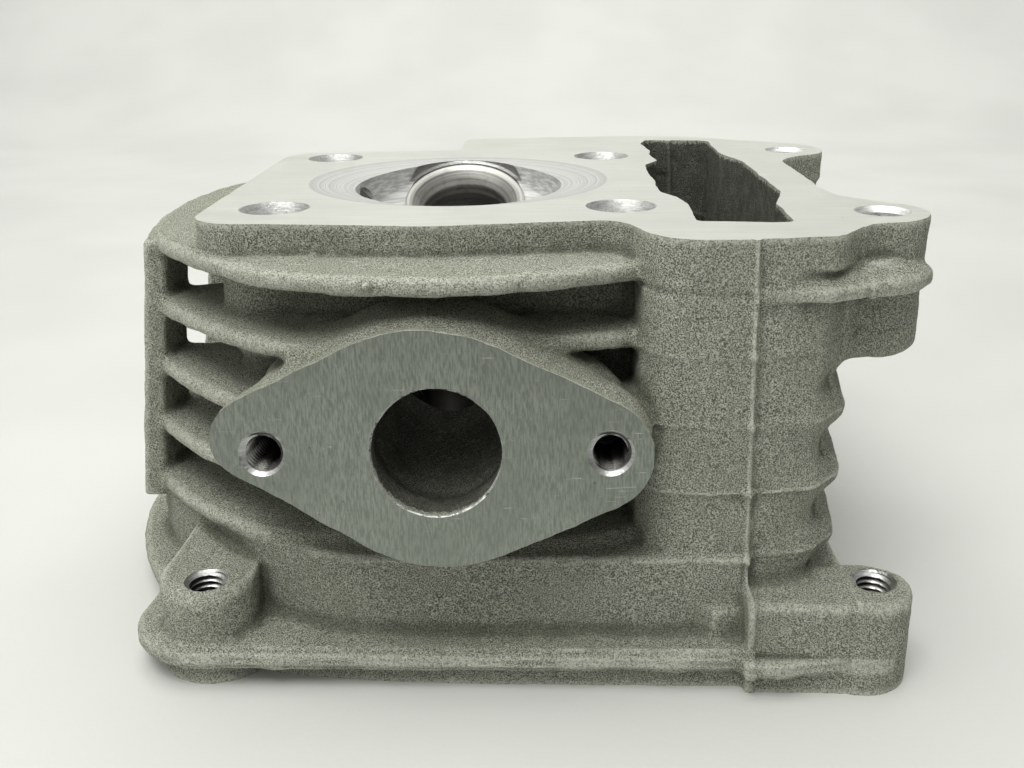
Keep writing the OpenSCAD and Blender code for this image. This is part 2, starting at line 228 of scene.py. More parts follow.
# ---------------------------------------------------------------- design numbers
SP = 27.0
VALVE_Y, VALVE_Z, TILT = 14.0, -6.6, 27.0
IN_FACE, IN_TILT = (0, -58, -28.1), 8.0
EX_FACE = (0, 57, -27)
EARS = [(65.5, -32.5), (65.5, 33.5)]
FIN_Z = [-6 - 10.4 * i for i in range(5)]
SEAM_X0, SEAM_DX = 43.4, -0.031          # the mould seam leans a little
AT_IN = at(*IN_FACE, rx=90 - IN_TILT)
AT_EX = at(*EX_FACE, rx=-90)
AT_PLUG = at(-16, 4, -6.4, ry=-125)


def at_valve(s):
    return at(0, s * VALVE_Y, VALVE_Z, rx=s * TILT)


deck = [(-37.7, -38.2, 7), (-28, -39.2, 0), (-15.8, -40.0, 0), (-8, -41.2, 0), (-2, -41.7, 0), (5.8, -40.6, 0),
        (17, -38.9, 0), (26.2, -37.6, 5), (29.5, -47.4, 3), (35, -51.6, 5), (55.2, -50.2, 4.5), (61.2, -40.6, 4),
        (70.4, -39.6, 6.3), (70.6, -29.2, 5), (62.4, -20.6, 3.5), (61.3, -12, 0), (61.2, 16, 0), (62, 24, 4),
        (72.4, 28.2, 5), (71.9, 41.4, 6), (47.5, 56.6, 5), (33, 58.4, 5), (-2, 55.3, 2.5), (-2.1, 35.8, 3),
        (-37.7, 34.8, 7)]
slot_line = [(36.9, -39.2, 1.2), (51, -40.6, 1.5), (51.2, -26, 4), (54, -16, 4), (54, 18, 4), (51.4, 28, 3),
             (51.4, 49, 2), (38, 50.8, 1.5), (36.6, 45, 1), (37.6, 34, 1), (36.8, 29, 1), (37.5, 20, 1.2), (34.6, 14.5, 1.2),
             (34.3, 4, 0), (34.6, -5, 1), (34.2, -9, 1), (34.5, -15.4, 1.2), (36.6, -20, 1.5), (37.6, -26, 2)]
block_half = [(28.6, -40, 0), (28.9, -45.5, 3), (31.4, -50.6, 5), (39.0, -51.6, 5), (48, -51.2, 0),
              (54.2, -49.2, 4), (57.6, -41.5, 5), (60, -29, 0), (61.3, -20, 5)]
core_half = [(36, -33.6, 0), (24, -35.4, 2), (8, -35.0, 0), (-8, -35.9, 0), (-22, -35.3, 0), (-34.9, -35.6, 6.5)]
fin_first = [(32, -43.4), (22.4, -47.2), (14.2, -50.8), (3.2, -53.2), (-8.2, -53), (-16.2, -51.5), (-24.7, -48.1),
             (-32.6, -42), (-41.6, -32.6), (-48.3, -22.6), (-51.6, -10), (-52.2, 0)]
fin_second = [(32, -42.6), (23, -45.7), (13, -46.8), (4, -49.5), (-8.2, -51.4), (-17.5, -50.8), (-24, -48.2),
              (-32, -42.4), (-41, -33.4), (-48.8, -22.8), (-52.6, -10), (-53.2, 0)]
fin_last = [(32, -44.5), (26.5, -47.2), (16, -49.4), (4, -49.2), (-10, -47.9), (-20, -47.3), (-27, -46.3),
            (-34, -42.6), (-43, -35), (-50.8, -25), (-54.4, -14), (-55.4, 0)]
cam_half = [(44, -52.6), (-4, -52.3), (-15, -51.6), (-24, -48.2), (-29.6, -45.0), (-36.4, -38.6), (-43.4, -31.8),
            (-50.8, -23.4), (-54.6, -14), (-55.6, 0)]
block_rear = [(28.6, 40, 0), (28.9, 50, 3), (31.4, 55.8, 4.5), (39, 57.2, 5), (48, 55.4, 0), (55, 51.5, 4), (58, 42, 5),
              (60, 29, 0), (61.3, 20, 3), (40, 18, 0)]
cavity_half = [(56.6, -37, 5), (54.2, -46.8, 4), (33, -47.4, 3), (28.5, -46.6, 3), (-12, -46.6, 0), (-22, -43.4, 0),
               (-31.5, -38, 0), (-40.2, -30.6, 0), (-46.4, -22, 0), (-50, -12, 0), (-50.8, -2, 0)]
flange_half = [(46, -58.3), (-36, -57.9)] + [(-37.6 + 11.7 * math.cos(math.radians(a)), -46.2 + 11.7 * math.sin(math.radians(a)))
                                             for a in range(-95, -181, -9)] \
    + [(61.3 * math.cos(math.radians(a)), 61.3 * math.sin(math.radians(a))) for a in np.arange(218, 180, -4.0)]
skirt_half = [(46, -56.4), (5, -56.1), (-10, -55.4), (-22, -54.4), (-26.5, -53.4)] \
    + [(-36.4 + 9.0 * math.cos(math.radians(a)), -47.4 + 9.0 * math.sin(math.radians(a))) for a in range(-34, -170, -12)] \
    + [(58.4 * math.cos(math.radians(a)), 58.4 * math.sin(math.radians(a))) for a in np.arange(218, 180, -4.0)]
boss_left = [(-43.3, -29.6, 0.5), (-44.4, -55.9, 7.0), (-29.9, -55.9, 7.0), (-29.5, -44.2, 0.6), (-34, -36, 0)]
boss_right = [(44.6, -58.1, 0), (69.7, -58.7, 6.5), (69.4, -45.6, 6), (57.6, -45.4, 1.5), (56, -36, 0), (44.6, -44, 0)]
ear_wall = [(54.0, -47.6, 0), (60.4, -41.5, 5), (70.2, -39.4, 6.2), (70.5, -29.8, 5), (62.2, -20.8, 3), (54, -18, 0)]
ear_bead = [(44, -51.9, 0), (53.8, -51.8, 4), (67.6, -45.2, 5), (71.7, -40.2, 5), (71.7, -28.6, 5), (62.8, -19.6, 3),
            (50, -19, 0), (46, -40, 0)]
corner_fin = [(50, -49.4, 0), (54.2, -49.6, 4), (59.4, -44.6, 4), (61.0, -34, 4), (61.6, -22, 3), (56, -20, 0), (50, -40, 0)]


def flip(p):
    return [(q[0], -q[1]) + tuple(q[2:]) for q in p]


flange_in = [(-37.4, 2.6, 5.5), (-2, 19.6, 24), (41.3, -0.7, 8), (-0.6, -19, 21)]
neck_in = [(-31.5, 3.2, 6), (-2, 20.4, 24), (35, -0.2, 8), (-0.6, -17.6, 20)]


def lozenge(half, end_r, tip_r, a=27.0):
    s, c = math.sin(math.radians(a)), math.cos(math.radians(a))
    d = end_r + half * s
    return [(d / s, 0, end_r), (0, d / c, tip_r), (-d / s, 0, end_r), (0, -d / c, tip_r)]


def grow_casting():
    f = Field((-64, -62, -70), (76, 63, 3), H)
    # walls and core
    f.slab(mirrored(core_half), -14.0, -3, r=0.7, k=0)
    f.slab([(36, -26, 0), (-32, -26, 6), (-32, 26, 6), (36, 26, 0)], -52, -3, r=1, k=2)
    for x in (-SP, SP):
        for y in (-SP, SP):
            f.rod(at(x, y, 0), 16.4, -21.8 if x < 0 else -52, -3, r=1.2, k=2.0)
            f.rod(at(x, y, 0), 13.6, -52, -3, r=1, k=2.0)
    f.slab(mirrored(block_half), -62, 1.5, r=0.6, k=1.5)
    f.slab(block_rear, -62, 1.5, r=0.6, k=1.5)
    # intake neck: a stout body behind the flange, blended into the core
    f.plate(AT_IN, flange_in, -9.5, 1.5, r=0.5, k=1.2, n=12)
    f.plate(at(0, -44, -28.1, rx=90), neck_in, -4, 8, r=2.0, k=2.5, n=12, taper=-0.12)
    f.plate(at(0, -40, -29.6, rx=90), neck_in, -6, 2, r=1.0, k=2.0, n=12)
    f.rod(AT_IN, 29, -27, -7, r=3, k=5)
    for s in (-1, 1):
        f.rod(AT_IN @ at(s * 22.5), 13.4, -20, -5, r=2, k=2.5, d1=14.4)
    # exhaust neck
    f.plate(AT_EX, lozenge(22.5, 9.2, 14), -9, 1.5, r=0.6, k=1.2, n=10)
    f.rod(AT_EX, 31, -30, -5, r=1, k=4, d1=35)
    for s in (-1, 1):
        f.rod(AT_EX @ at(s * 22.5), 15, -22, -5, r=2, k=3, d1=18)
    # fins
    f.slab(mirrored(smooth_line(fin_first, 4)), FIN_Z[0] - 1.45, FIN_Z[0] + 1.3, r=1.25, k=1.6, taper=0.02, closed=False)
    for i in range(1, 5):
        line = smooth_line(between(fin_second, fin_last, (i - 1) / 3), 4)
        f.slab(mirrored(line), FIN_Z[i] - 1.35, FIN_Z[i] + 1.35, r=1.25, k=1.8, taper=0.03, closed=False)
    # ribs that tie the fin ends together, leaning out towards the cam box
    for g in (lambda p: p, flip):
        f.slab(g([(-49.5, -23.0, 1.0), (-48.9, -25.4, 1.0), (-45.6, -25.0, 1.2), (-44.2, -15.4, 0.6), (-50.8, -15.4, 0.6)]),
               -50.5, -5.6, r=0.5, k=1.5, lean=0.128)
    # clearance for the plug and its cap
    f.slab([(-75, -16, 0), (-37.5, -16, 5), (-37.5, 16, 5), (-75, 16, 0)], -33, -8.9, r=1.5, k=1.2, cut=True)
    f.rod(AT_PLUG, 26, 1, 13.2, r=1, k=3)
    f.rod(AT_PLUG, 22.5, 13.4, 60, r=0.3, k=0.8, cut=True)
    # deck plate
    f.slab(deck, -5.2, 1.8, r=0.3, k=0.5)
    for x, y, d in ((-18.6, -39.9, 1.0), (-16.0, -40.0, 1.3), (12.5, -53.9, 1.0), (-9.0, -53.6, 0.9)):
        f.ball((x, y, -4.5 if y > -45 else -5.6), d, k=0.5)
    # ears of the deck, with the bead that runs round them
    for s, ear in ((1, EARS[0]), (-1, EARS[1])):
        g = (lambda p: p) if s > 0 else flip
        f.slab(g(ear_wall), -20.8, 1.5, r=2.2, k=3.2)
        f.rod(at(ear[0], ear[1], 0), 13.2, -21, 1.5, r=2.0, k=1.5)
        f.slab(g(ear_bead), -9.3, -7.0, r=0.8, k=0.8, rise=0.5)
        for i in (2, 3, 4):
            f.slab(g(corner_fin), FIN_Z[i] - 2.5, FIN_Z[i] + 2.3, r=2.3, k=3.2)
    # cam box
    f.slab(mirrored(smooth_line(cam_half, 4)), -66, -47.5, r=1.0, k=2.0, closed=False)
    f.slab([(40, -54, 0), (56, -52, 4), (62.8, -40, 4), (62.8, 40, 4), (56, 52, 4), (40, 54, 0)], -69, -55.5, r=0.8, k=1.5)
    for g in (lambda p: p, flip):
        f.slab(g(boss_left), -62, -52.1, r=lambda X, Y: 0.5 + 2.1 * np.clip((np.abs(Y) - 47.5) / 6, 0, 1) + 0 * X, k=0.7, n=12)
        f.slab(g(boss_right), -69, -52.1, r=1.5, k=1.2)
    f.slab(mirrored(flange_half), -63.8, -60.2, r=1.6, k=1.4, closed=False)
    f.slab(mirrored(skirt_half), -69, -62.6, r=0.3, k=0.9, closed=False)
    for g in (lambda p: p, flip):
        f.slab(g([(44.0, -54, 0), (44.0, -60.0, 0.5), (50, -60.3, 2), (58.5, -58.4, 0.6), (58, -55, 0)]), -63.9, -60.7, r=1.0, k=0.8)
    # inside of the cam box and the chain tunnel, as cast
    f.slab(mirrored(cavity_half), -72, -50, r=1.5, k=2.0, cut=True)
    f.slab(slot_line, -54, 4, r=0.2, k=0.5, cut=True, n=4)
    for x in (-SP, SP):
        for y in (-SP, SP):
            f.rod(at(x, y, 0), 17.5, -59, -47, r=0.6, k=2)
    f.slab([(-34, -22, 2), (-24, -22, 2), (-24, 22, 2), (-34, 22, 2)], -60, -47, r=0.8, k=2)
    f.slab([(22, -24, 2), (33, -24, 2), (33, 24, 2), (22, 24, 2)], -60, -47, r=0.8, k=2)
    for g in (lambda p: p, flip):
        f.slab(g([(-43, -40, 2), (-43, -52, 5), (-31, -52, 3), (-30.8, -42.6, 4)]), -69, -55, r=1, k=0.6)
        f.slab(g([(57, -41, 0), (50, -44.5, 3), (50, -54, 0), (60, -54, 0)]), -69, -53.5, r=1, k=1.0)
        f.slab(g([(56, -41, 0), (50, -44.5, 3), (50, -49, 0), (53, -47.8, 0)]), -60, -48, r=0.5, k=1.0)
    # ports, as cast
    c = Vector(IN_FACE) + 5 * Vector((0, math.cos(math.radians(IN_TILT)), -math.sin(math.radians(IN_TILT))))
    for s, d, dd, c0, M, face in ((-1, 18.0, 22.4, c, AT_IN, IN_FACE), (1, 21.0, 20.6, Vector((0, 52, -27)), AT_EX, EX_FACE)):
        bowl = at_valve(s) @ Vector((0, 0, -14))
        f.rod(M, d, -8, 4, r=0.1, k=1.5, cut=True)
        f.ball(c0 + (bowl - c0) * 0.1, d, k=2, cut=True)
        A, L = aim(c0, bowl)
        f.rod(A, d - 0.4 if s < 0 else d - 2.5, 0, L, r=0.3, k=2, cut=True)
        f.ball(bowl, dd, k=2, cut=True)
    # mould lines: a seam up the front of the chain tunnel, and faint steps level with the fins
    for sgn in (-1, 1):
        s, (X, Y, Z) = f.window((28, -62 if sgn < 0 else 44, -70), (60, -44 if sgn < 0 else 63, 3))
        seam = np.float32(SEAM_X0) + np.float32(SEAM_DX) * Z
        f.F[s] += np.float32(0.32) / (1 + np.exp(-(X - seam - 0.45) * 12)) * np.ones_like(Y)
        f.F[s] -= np.float32(0.62) * np.exp(-((X - seam) / 0.36) ** 2) * np.ones_like(Y) * (0.1 + 0.9 / (1 + np.exp(-(Z + 58) * 3)))
        for zc, amp in ((FIN_Z[1], 0.22), (FIN_Z[2], 0.24), (FIN_Z[3], 0.46), (FIN_Z[4], 0.3)):
            f.F[s] -= np.float32(amp) * np.exp(-((Z - zc + 0.2 - 0.012 * (X - 40)) / 0.32) ** 2) * np.ones_like(Y)
            f.F[s] -= np.float32(0.9) * np.exp(-((Z - zc + 0.2) / 0.75) ** 2 - ((X - seam) / 0.7) ** 2) * np.ones_like(Y)
        w, (X, Y, Z) = f.window((-40, -62 if sgn < 0 else 57, -65), (59, -57 if sgn < 0 else 63, -60))
        f.F[w] += np.float32(0.13) * np.sin((Z + 62.1) * 5.2 + 0.02 * X) * np.ones_like(Y)
        s, (X, Y, Z) = f.window((28, -62 if sgn < 0 else 44, -70), (60, -44 if sgn < 0 else 63, 3))
        f.F[s] += np.float32(0.3) * np.exp(-((Z + 7.7) / 0.4) ** 2) * np.ones_like(Y) / (1 + np.exp((X - seam) * 6))
    # the gentle unevenness of a casting
    rng = np.random.default_rng(11)
    shape = f.F.shape
    spec = np.fft.rfftn(rng.standard_normal(shape, dtype=np.float32))
    k = np.sqrt(np.fft.fftfreq(shape[0], H)[:, None, None] ** 2 + np.fft.fftfreq(shape[1], H)[None, :, None] ** 2
                + np.fft.rfftfreq(shape[2], H)[None, None, :] ** 2)
    for width, amp in ((7.0, 0.055), (1.6, 0.03)):
        noise = np.fft.irfftn(spec * np.exp(-(k * width) ** 2), s=shape, axes=(0, 1, 2))
        f.F += (noise * (amp / noise.std())).astype(np.float32)
    return f


def field_mesh(f, name):
    g = openvdb.FloatGrid(3 * f.h)
    g.copyFromArray(np.clip(f.F, -3 * f.h, 3 * f.h))
    pts, tris, quads = g.convertToPolygons(isovalue=0.0, adaptivity=0.0)
    pts = (pts * f.h + f.lo) * MM
    me = bpy.data.meshes.new(name)
    faces = [quads[:, ::-1]] if len(quads) else []
    loops = np.concatenate([q.ravel() for q in faces] + ([tris[:, ::-1].ravel()] if len(tris) else []))
    counts = np.concatenate([np.full(len(quads), 4), np.full(len(tris), 3)]).astype(np.int32)
    me.vertices.add(len(pts))
    me.vertices.foreach_set("co", pts.astype(np.float32).ravel())
    me.loops.add(len(loops))
    me.loops.foreach_set("vertex_index", loops.astype(np.int32))
    me.polygons.add(len(counts))
    me.polygons.foreach_set("loop_start", np.concatenate([[0], np.cumsum(counts)[:-1]]).astype(np.int32))
    me.update(calc_edges=True)
    me.validate()
    return me


# ---------------------------------------------------------------- mesh helpers


def mesh_from(name, verts, faces):
    me = bpy.data.meshes.new(name)
    me.from_pydata([tuple(v) for v in verts], [], faces)
    me.update()
    return me


def lathe(profile, n=64):
    """Closed solid turned from (radius, z) points listed from one end to the other."""
    verts, faces, rings = [], [], []
    for r, z in profile:
        if r <= 1e-9:
            rings.append([len(verts)])
            verts.append((0.0, 0.0, z))
        else:
            rings.append(list(range(len(verts), len(verts) + n)))
            verts += [(r * math.cos(2 * math.pi * i / n), r * math.sin(2 * math.pi * i / n), z) for i in range(n)]
    loop = rings[0] == rings[-1]
    for a, b in zip(rings, rings[1:]):
        for i in range(n):
            j = (i + 1) % n
            if len(a) == 1 and len(b) == 1:
                break
            if len(a) == 1:
                faces.append((a[0], b[j], b[i]))
            elif len(b) == 1:
                faces.append((a[i], a[j], b[0]))
            else:
                faces.append((a[i], a[j], b[j], b[i]))
    return verts, faces


def tube(profile, n=64):
    """Ring turned from a closed loop of (radius, z) points."""
    verts = [(r * math.cos(2 * math.pi * i / n), r * math.sin(2 * math.pi * i / n), z)
             for r, z in profile for i in range(n)]
    faces, m = [], len(profile)
    for k in range(m):
        for i in range(n):
            j = (i + 1) % n
            a, b = k * n, ((k + 1) % m) * n
            faces.append((a + i, a + j, b + j, b + i))
    return verts, faces


def rod_solid(d, z0, z1, n=48):
    return lathe([(0, z0), (d / 2, z0), (d / 2, z1), (0, z1)], n)


def thread_solid(minor, major, pitch, z0, z1, n=40, fade=1.0, step=8, grow=0.0):
    """A bolt's outside with a real helical thread. Radii in mm."""
    rows = int(round((z1 - z0) / pitch * step))
    zs = [z0 + (z1 - z0) * i / rows for i in range(rows + 1)]
    verts, faces = [(0, 0, z0)], []
    for z in zs:
        for i in range(n):
            t = (z / pitch - i / n) % 1.0
            tri = 1 - abs(2 * t - 1)
            tri = min(max((tri - 0.10) / 0.76, 0), 1)
            amp = 1.0 if fade <= 0 else min(1.0, (z - z0) / (fade * pitch), (z1 - z) / (fade * pitch) if grow else 1.0)
            r = minor + (major - minor) * tri * max(amp, 0)
            verts.append((r * math.cos(2 * math.pi * i / n), r * math.sin(2 * math.pi * i / n), z))
    verts.append((0, 0, z1))
    for i in range(n):
        faces.append((0, 1 + (i + 1) % n, 1 + i))
    for k in range(rows):
        a, b = 1 + k * n, 1 + (k + 1) * n
        for i in range(n):
            j = (i + 1) % n
            faces.append((a + i, a + j, b + j, b + i))
    a, top = 1 + rows * n, len(verts) - 1
    for i in range(n):
        faces.append((a + i, a + (i + 1) % n, top))
    return verts, faces


def box_solid(x0, x1, y0, y1, z0, z1):
    v = [(x, y, z) for z in (z0, z1) for y in (y0, y1) for x in (x0, x1)]
    return v, [(0, 2, 3, 1), (4, 5, 7, 6), (0, 1, 5, 4), (2, 6, 7, 3), (0, 4, 6, 2), (1, 3, 7, 5)]


def slab_cutter(x0, x1, y0, y1, z0, z1, cell=2.5, low=True):
    """A box whose cutting face is a grid, so that the cut surface is made of small faces."""
    nx, ny = int(math.ceil((x1 - x0) / cell)), int(math.ceil((y1 - y0) / cell))
    zc, zo = (z0, z1) if low else (z1, z0)
    verts = [(x0 + (x1 - x0) * i / nx, y0 + (y1 - y0) * j / ny, zc) for j in range(ny + 1) for i in range(nx + 1)]
    faces = [(j * (nx + 1) + i, j * (nx + 1) + i + 1, (j + 1) * (nx + 1) + i + 1, (j + 1) * (nx + 1) + i)
             for j in range(ny) for i in range(nx)]
    rim = [i for i in range(nx)] + [j * (nx + 1) + nx for j in range(ny)] \
        + [ny * (nx + 1) + nx - i for i in range(nx)] + [(ny - j) * (nx + 1) for j in range(ny)]
    o = len(verts)
    verts += [(verts[i][0], verts[i][1], zo) for i in rim]
    n = len(rim)
    faces += [(rim[i], rim[(i + 1) % n], o + (i + 1) % n, o + i) for i in range(n)]
    faces.append(tuple(o + i for i in range(n)))
    return verts, faces


def outward(me):
    bm = bmesh.new()
    bm.from_mesh(me)
    bmesh.ops.recalc_face_normals(bm, faces=bm.faces)
    bm.to_mesh(me)
    bm.free()


def cutter(name, parts, mat):
    """Parts are (matrix in mm, (verts, faces)); they must not overlap each other."""
    verts, faces = [], []
    for M, (v, f) in parts:
        o = len(verts)
        verts += [tuple((M @ Vector(p)) * MM) for p in v]
        faces += [tuple(i + o for i in q) for q in f]
    me = mesh_from(name, verts, faces)
    outward(me)
    me.materials.append(mat)
    ob = bpy.data.objects.new(name, me)
    bpy.context.scene.collection.objects.link(ob)
    return ob


def carve(ob, tool, op="DIFFERENCE"):
    m = ob.modifiers.new("cut", "BOOLEAN")
    m.operation = op
    m.solver = "MANIFOLD"
    m.material_mode = "TRANSFER"
    m.object = tool
    dg = bpy.context.evaluated_depsgraph_get()
    me = bpy.data.meshes.new_from_object(ob.evaluated_get(dg))
    ob.modifiers.clear()
    old = ob.data
    ob.data = me
    bpy.data.meshes.remove(old)
    t = tool.data
    bpy.data.objects.remove(tool)
    bpy.data.meshes.remove(t)


def largest_island(me):
    """Drop any crumbs that float free of the main body."""
    nv = len(me.vertices)
    e = np.empty(len(me.edges) * 2, np.int32)
    me.edges.foreach_get("vertices", e)
    a, b = e[::2], e[1::2]
    lab = np.arange(nv)
    for _ in range(200):
        m = np.minimum(lab[a], lab[b])
        new = lab.copy()
        np.minimum.at(new, a, m)
        np.minimum.at(new, b, m)
        new = new[new]
        new = new[new]
        if (new == lab).all():
            break
        lab = new
    ids, counts = np.unique(lab, return_counts=True)
    keep = ids[np.argmax(counts)]
    if len(ids) > 1:
        bm = bmesh.new()
        bm.from_mesh(me)
        bm.verts.ensure_lookup_table()
        drop = [bm.verts[i] for i in np.nonzero(lab != keep)[0]]
        bmesh.ops.delete(bm, geom=drop, context="VERTS")
        bm.to_mesh(me)
        bm.free()
    return len(ids)


def add_piece(name, me, node, mats=(), smooth=40.0):
    ob = bpy.data.objects.new(name, me)
    bpy.context.scene.collection.objects.link(ob)
    for m in mats:
        ob.data.materials.append(m)
    me.polygons.foreach_set("use_smooth", [True] * len(me.polygons))
    me.set_sharp_from_angle(angle=math.radians(smooth))
    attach(ob, "root")
    if node:
        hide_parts(node)
    return ob


# ---------------------------------------------------------------- materials


class Mat:
    """A Principled material on metal, with its own millimetre coordinates."""

    def __init__(self, name, metallic=1.0):
        self.m = bpy.data.materials.new(name)
        self.m.use_nodes = True
        self.t = self.m.node_tree
        self.b = self.t.nodes["Principled BSDF"]
        self.b.inputs["Metallic"].default_value = metallic
        self.b.inputs["Specular Tint"].default_value = (1, 1, 1, 1)
        tc = self.t.nodes.new("ShaderNodeTexCoord")
        sc = self.t.nodes.new("ShaderNodeVectorMath")
        sc.operation = "SCALE"
        sc.inputs[3].default_value = 1000.0
        self.t.links.new(tc.outputs["Object"], sc.inputs[0])
        self.p = sc.outputs[0]
        self.height = None

    def link(self, a, b):
        self.t.links.new(a, b)

    def node(self, kind, **props):
        n = self.t.nodes.new(kind)
        for k, v in props.items():
            setattr(n, k, v)
        return n

    def feed(self, n, i, v):
        if isinstance(v, (int, float)):
            n.inputs[i].default_value = v
        elif isinstance(v, tuple):
            n.inputs[i].default_value = v
        else:
            self.link(v, n.inputs[i])

    def math(self, op, a, b=None, c=None, clamp=False):
        n = self.node("ShaderNodeMath", operation=op, use_clamp=clamp)
        for i, v in enumerate((a, b, c)):
            if v is not None:
                self.feed(n, i, v)
        return n.outputs[0]

    def ramp(self, v, lo, hi, a=0.0, b=1.0, smooth=True):
        n = self.node("ShaderNodeMapRange", interpolation_type="SMOOTHSTEP" if smooth else "LINEAR")
        self.feed(n, 0, v)
        for i, x in zip((1, 2, 3, 4), (lo, hi, a, b)):
            n.inputs[i].default_value = x
        return n.outputs[0]

    def mix(self, f, a, b):
        n = self.node("ShaderNodeMix", data_type="RGBA")
        self.feed(n, 0, f)
        for i, v in ((6, a), (7, b)):
            self.feed(n, i, v)
        return n.outputs[2]

    def vec(self, scale=(1, 1, 1), rot=(0, 0, 0), move=(0, 0, 0)):
        n = self.node("ShaderNodeMapping")
        self.link(self.p, n.inputs[0])
        n.inputs[1].default_value = move
        n.inputs[2].default_value = tuple(math.radians(a) for a in rot)
        n.inputs[3].default_value = scale
        return n.outputs[0]

    def noise(self, size, detail=2.0, rough=0.5, vec=None, distort=0.0, kind="FBM"):
        n = self.node("ShaderNodeTexNoise")
        n.noise_type = kind
        self.link(vec if vec is not None else self.p, n.inputs["Vector"])
        n.inputs["Scale"].default_value = 1.0 / size
        n.inputs["Detail"].default_value = detail
        n.inputs["Roughness"].default_value = rough
        n.inputs["Distortion"].default_value = distort
        return n.outputs[0]

    def spots(self, size, vec=None, feature="F1", randomness=1.0):
        n = self.node("ShaderNodeTexVoronoi", feature=feature)
        self.link(vec if vec is not None else self.p, n.inputs["Vector"])
        n.inputs["Scale"].default_value = 1.0 / size
        n.inputs["Randomness"].default_value = randomness
        return n.outputs["Distance"]

    def attr(self, name):
        n = self.node("ShaderNodeAttribute", attribute_name=name)
        return n.outputs["Fac"]

    def bump(self, h, depth_mm, strength=1.0):
        """Adds a bump of this depth for a height of 0 to 1."""
        n = self.node("ShaderNodeBump")
        n.inputs["Strength"].default_value = strength
        n.inputs["Distance"].default_value = depth_mm * MM
        self.link(h, n.inputs["Height"])
        if self.height is not None:
            self.link(self.height, n.inputs["Normal"])
        self.height = n.outputs[0]

    def done(self, color=None, rough=None):
        for key, v in (("Base Color", color), ("Roughness", rough)):
            if v is None:
                continue
            if isinstance(v, tuple):
                self.b.inputs[key].default_value = v + (1.0,)
            elif isinstance(v, (int, float)):
                self.b.inputs[key].default_value = v
            else:
                self.link(v, self.b.inputs[key])
        if self.height is not None:
            self.link(self.height, self.b.inputs["Normal"])
        return self.m


def grey(v, warm=0.0):
    return (v * (1 + warm), v, v * (1 - warm), 1.0)


def alloy(v, olive=1.0):
    """Raw aluminium: a grey that leans a little to olive."""
    return (v * (1 - 0.025 * olive), v, v * (1 - 0.165 * olive), 1.0)


def cast_material(name, base, dark=0.0, rough=0.74, grain=1.0):
    """Shot-blasted casting: fine pits, soft mottling, edges brightened as wear and painted highlight, hollows darkened
    as painted shade.

    The blasted skin scatters light almost like a matt surface, so it is only partly metallic."""
    m = Mat(name, metallic=0.45)
    fine = m.noise(0.21, 2.0, 0.6)
    mid = m.noise(0.8, 2.0, 0.55)
    wide = m.noise(14.0, 3.0, 0.55)
    edge, hollow_shade = m.attr("edge"), m.attr("hollow_shade")
    # colour
    c = m.mix(m.ramp(fine, 0.37, 0.63), alloy(base * 0.3, 1.0), alloy(base * 1.72, 0.75))
    c = m.mix(m.ramp(mid, 0.3, 0.7, 0.35, 0.0), c, alloy(base * 0.6, 1.2))
    c = m.mix(m.ramp(wide, 0.3, 0.7, 0.0, 0.22), c, alloy(base * 0.8, 1.3))
    # convex edges lightened: partly wear, partly painted highlight where rounded edges would catch the light
    wear_and_edge_highlight = m.math("MULTIPLY", m.ramp(edge, 0.14, 0.75), m.ramp(m.noise(0.45, 3.0, 0.7), 0.36, 0.58, 0.15, 1.0))
    c = m.mix(m.math("MULTIPLY", wear_and_edge_highlight, 0.6), c, alloy(min(base * 2.0, 0.92), 0.6))
    # painted shade: the hollows of the finished shape are darkened towards a dark olive grey
    c = m.mix(m.ramp(hollow_shade, 0.08, 0.6, 0.0, 0.6), c, alloy(base * 0.3, 1.4))
    # painted shade: blotches darkened towards near black, for the insides where little light reaches
    if dark:
        c = m.mix(m.ramp(m.noise(3.0, 4.0, 0.6), 0.3, 0.66, dark * 0.55, dark), c, grey(0.03, 0.06))
    r = m.math("SUBTRACT", m.ramp(fine, 0.3, 0.7, rough + 0.1, rough - 0.08), m.math("MULTIPLY", wear_and_edge_highlight, 0.12))
    m.bump(mid, 0.14 * grain)
    m.bump(fine, 0.38 * grain)
    m.bump(m.ramp(m.spots(0.8), 0.0, 0.16), 0.07 * grain, 0.8)
    m.b.inputs["Specular Tint"].default_value = (0.08, 0.08, 0.075, 1)
    m.b.inputs["Specular IOR Level"].default_value = 0.15
    return m.done(c, r)


def deck_material():
    """Fly-cut gasket face: very fine parallel arcs, faint handling marks, bright."""
    m = Mat("deck_fly_cut")
    arcs = m.node("ShaderNodeTexWave", wave_type="RINGS", rings_direction="Z", wave_profile="SIN")
    m.link(m.vec(scale=(1, 1, 0), move=(-20, 260, 0)), arcs.inputs["Vector"])
    arcs.inputs["Scale"].default_value = 0.55
    arcs.inputs["Distortion"].default_value = 0.6
    arcs.inputs["Detail"].default_value = 1.0
    streak = m.noise(1.0, 3.0, 0.6, vec=m.vec(scale=(0.06, 2.4, 1), rot=(0, 0, -4)))
    cloud = m.noise(16.0, 3.0, 0.5)
    speck = m.noise(0.3, 2.0, 0.5)
    c = m.mix(m.ramp(streak, 0.35, 0.65), alloy(0.60, 0.25), alloy(0.69, 0.25))
    c = m.mix(m.ramp(cloud, 0.35, 0.7, 0.0, 0.35), c, alloy(0.56, 0.3))
    dent = m.ramp(m.spots(6.5, randomness=1.0), 0.0, 0.055, 1.0, 0.0)
    c = m.mix(m.math("MULTIPLY", dent, 0.5), c, grey(0.3, 0.02))
    r = m.math("ADD", m.ramp(streak, 0.3, 0.7, 0.47, 0.58), m.ramp(speck, 0.3, 0.7, -0.03, 0.03))
    m.bump(arcs.outputs["Fac"], 0.004)
    m.bump(streak, 0.006)
    m.bump(dent, -0.05)
    return m.done(c, r)


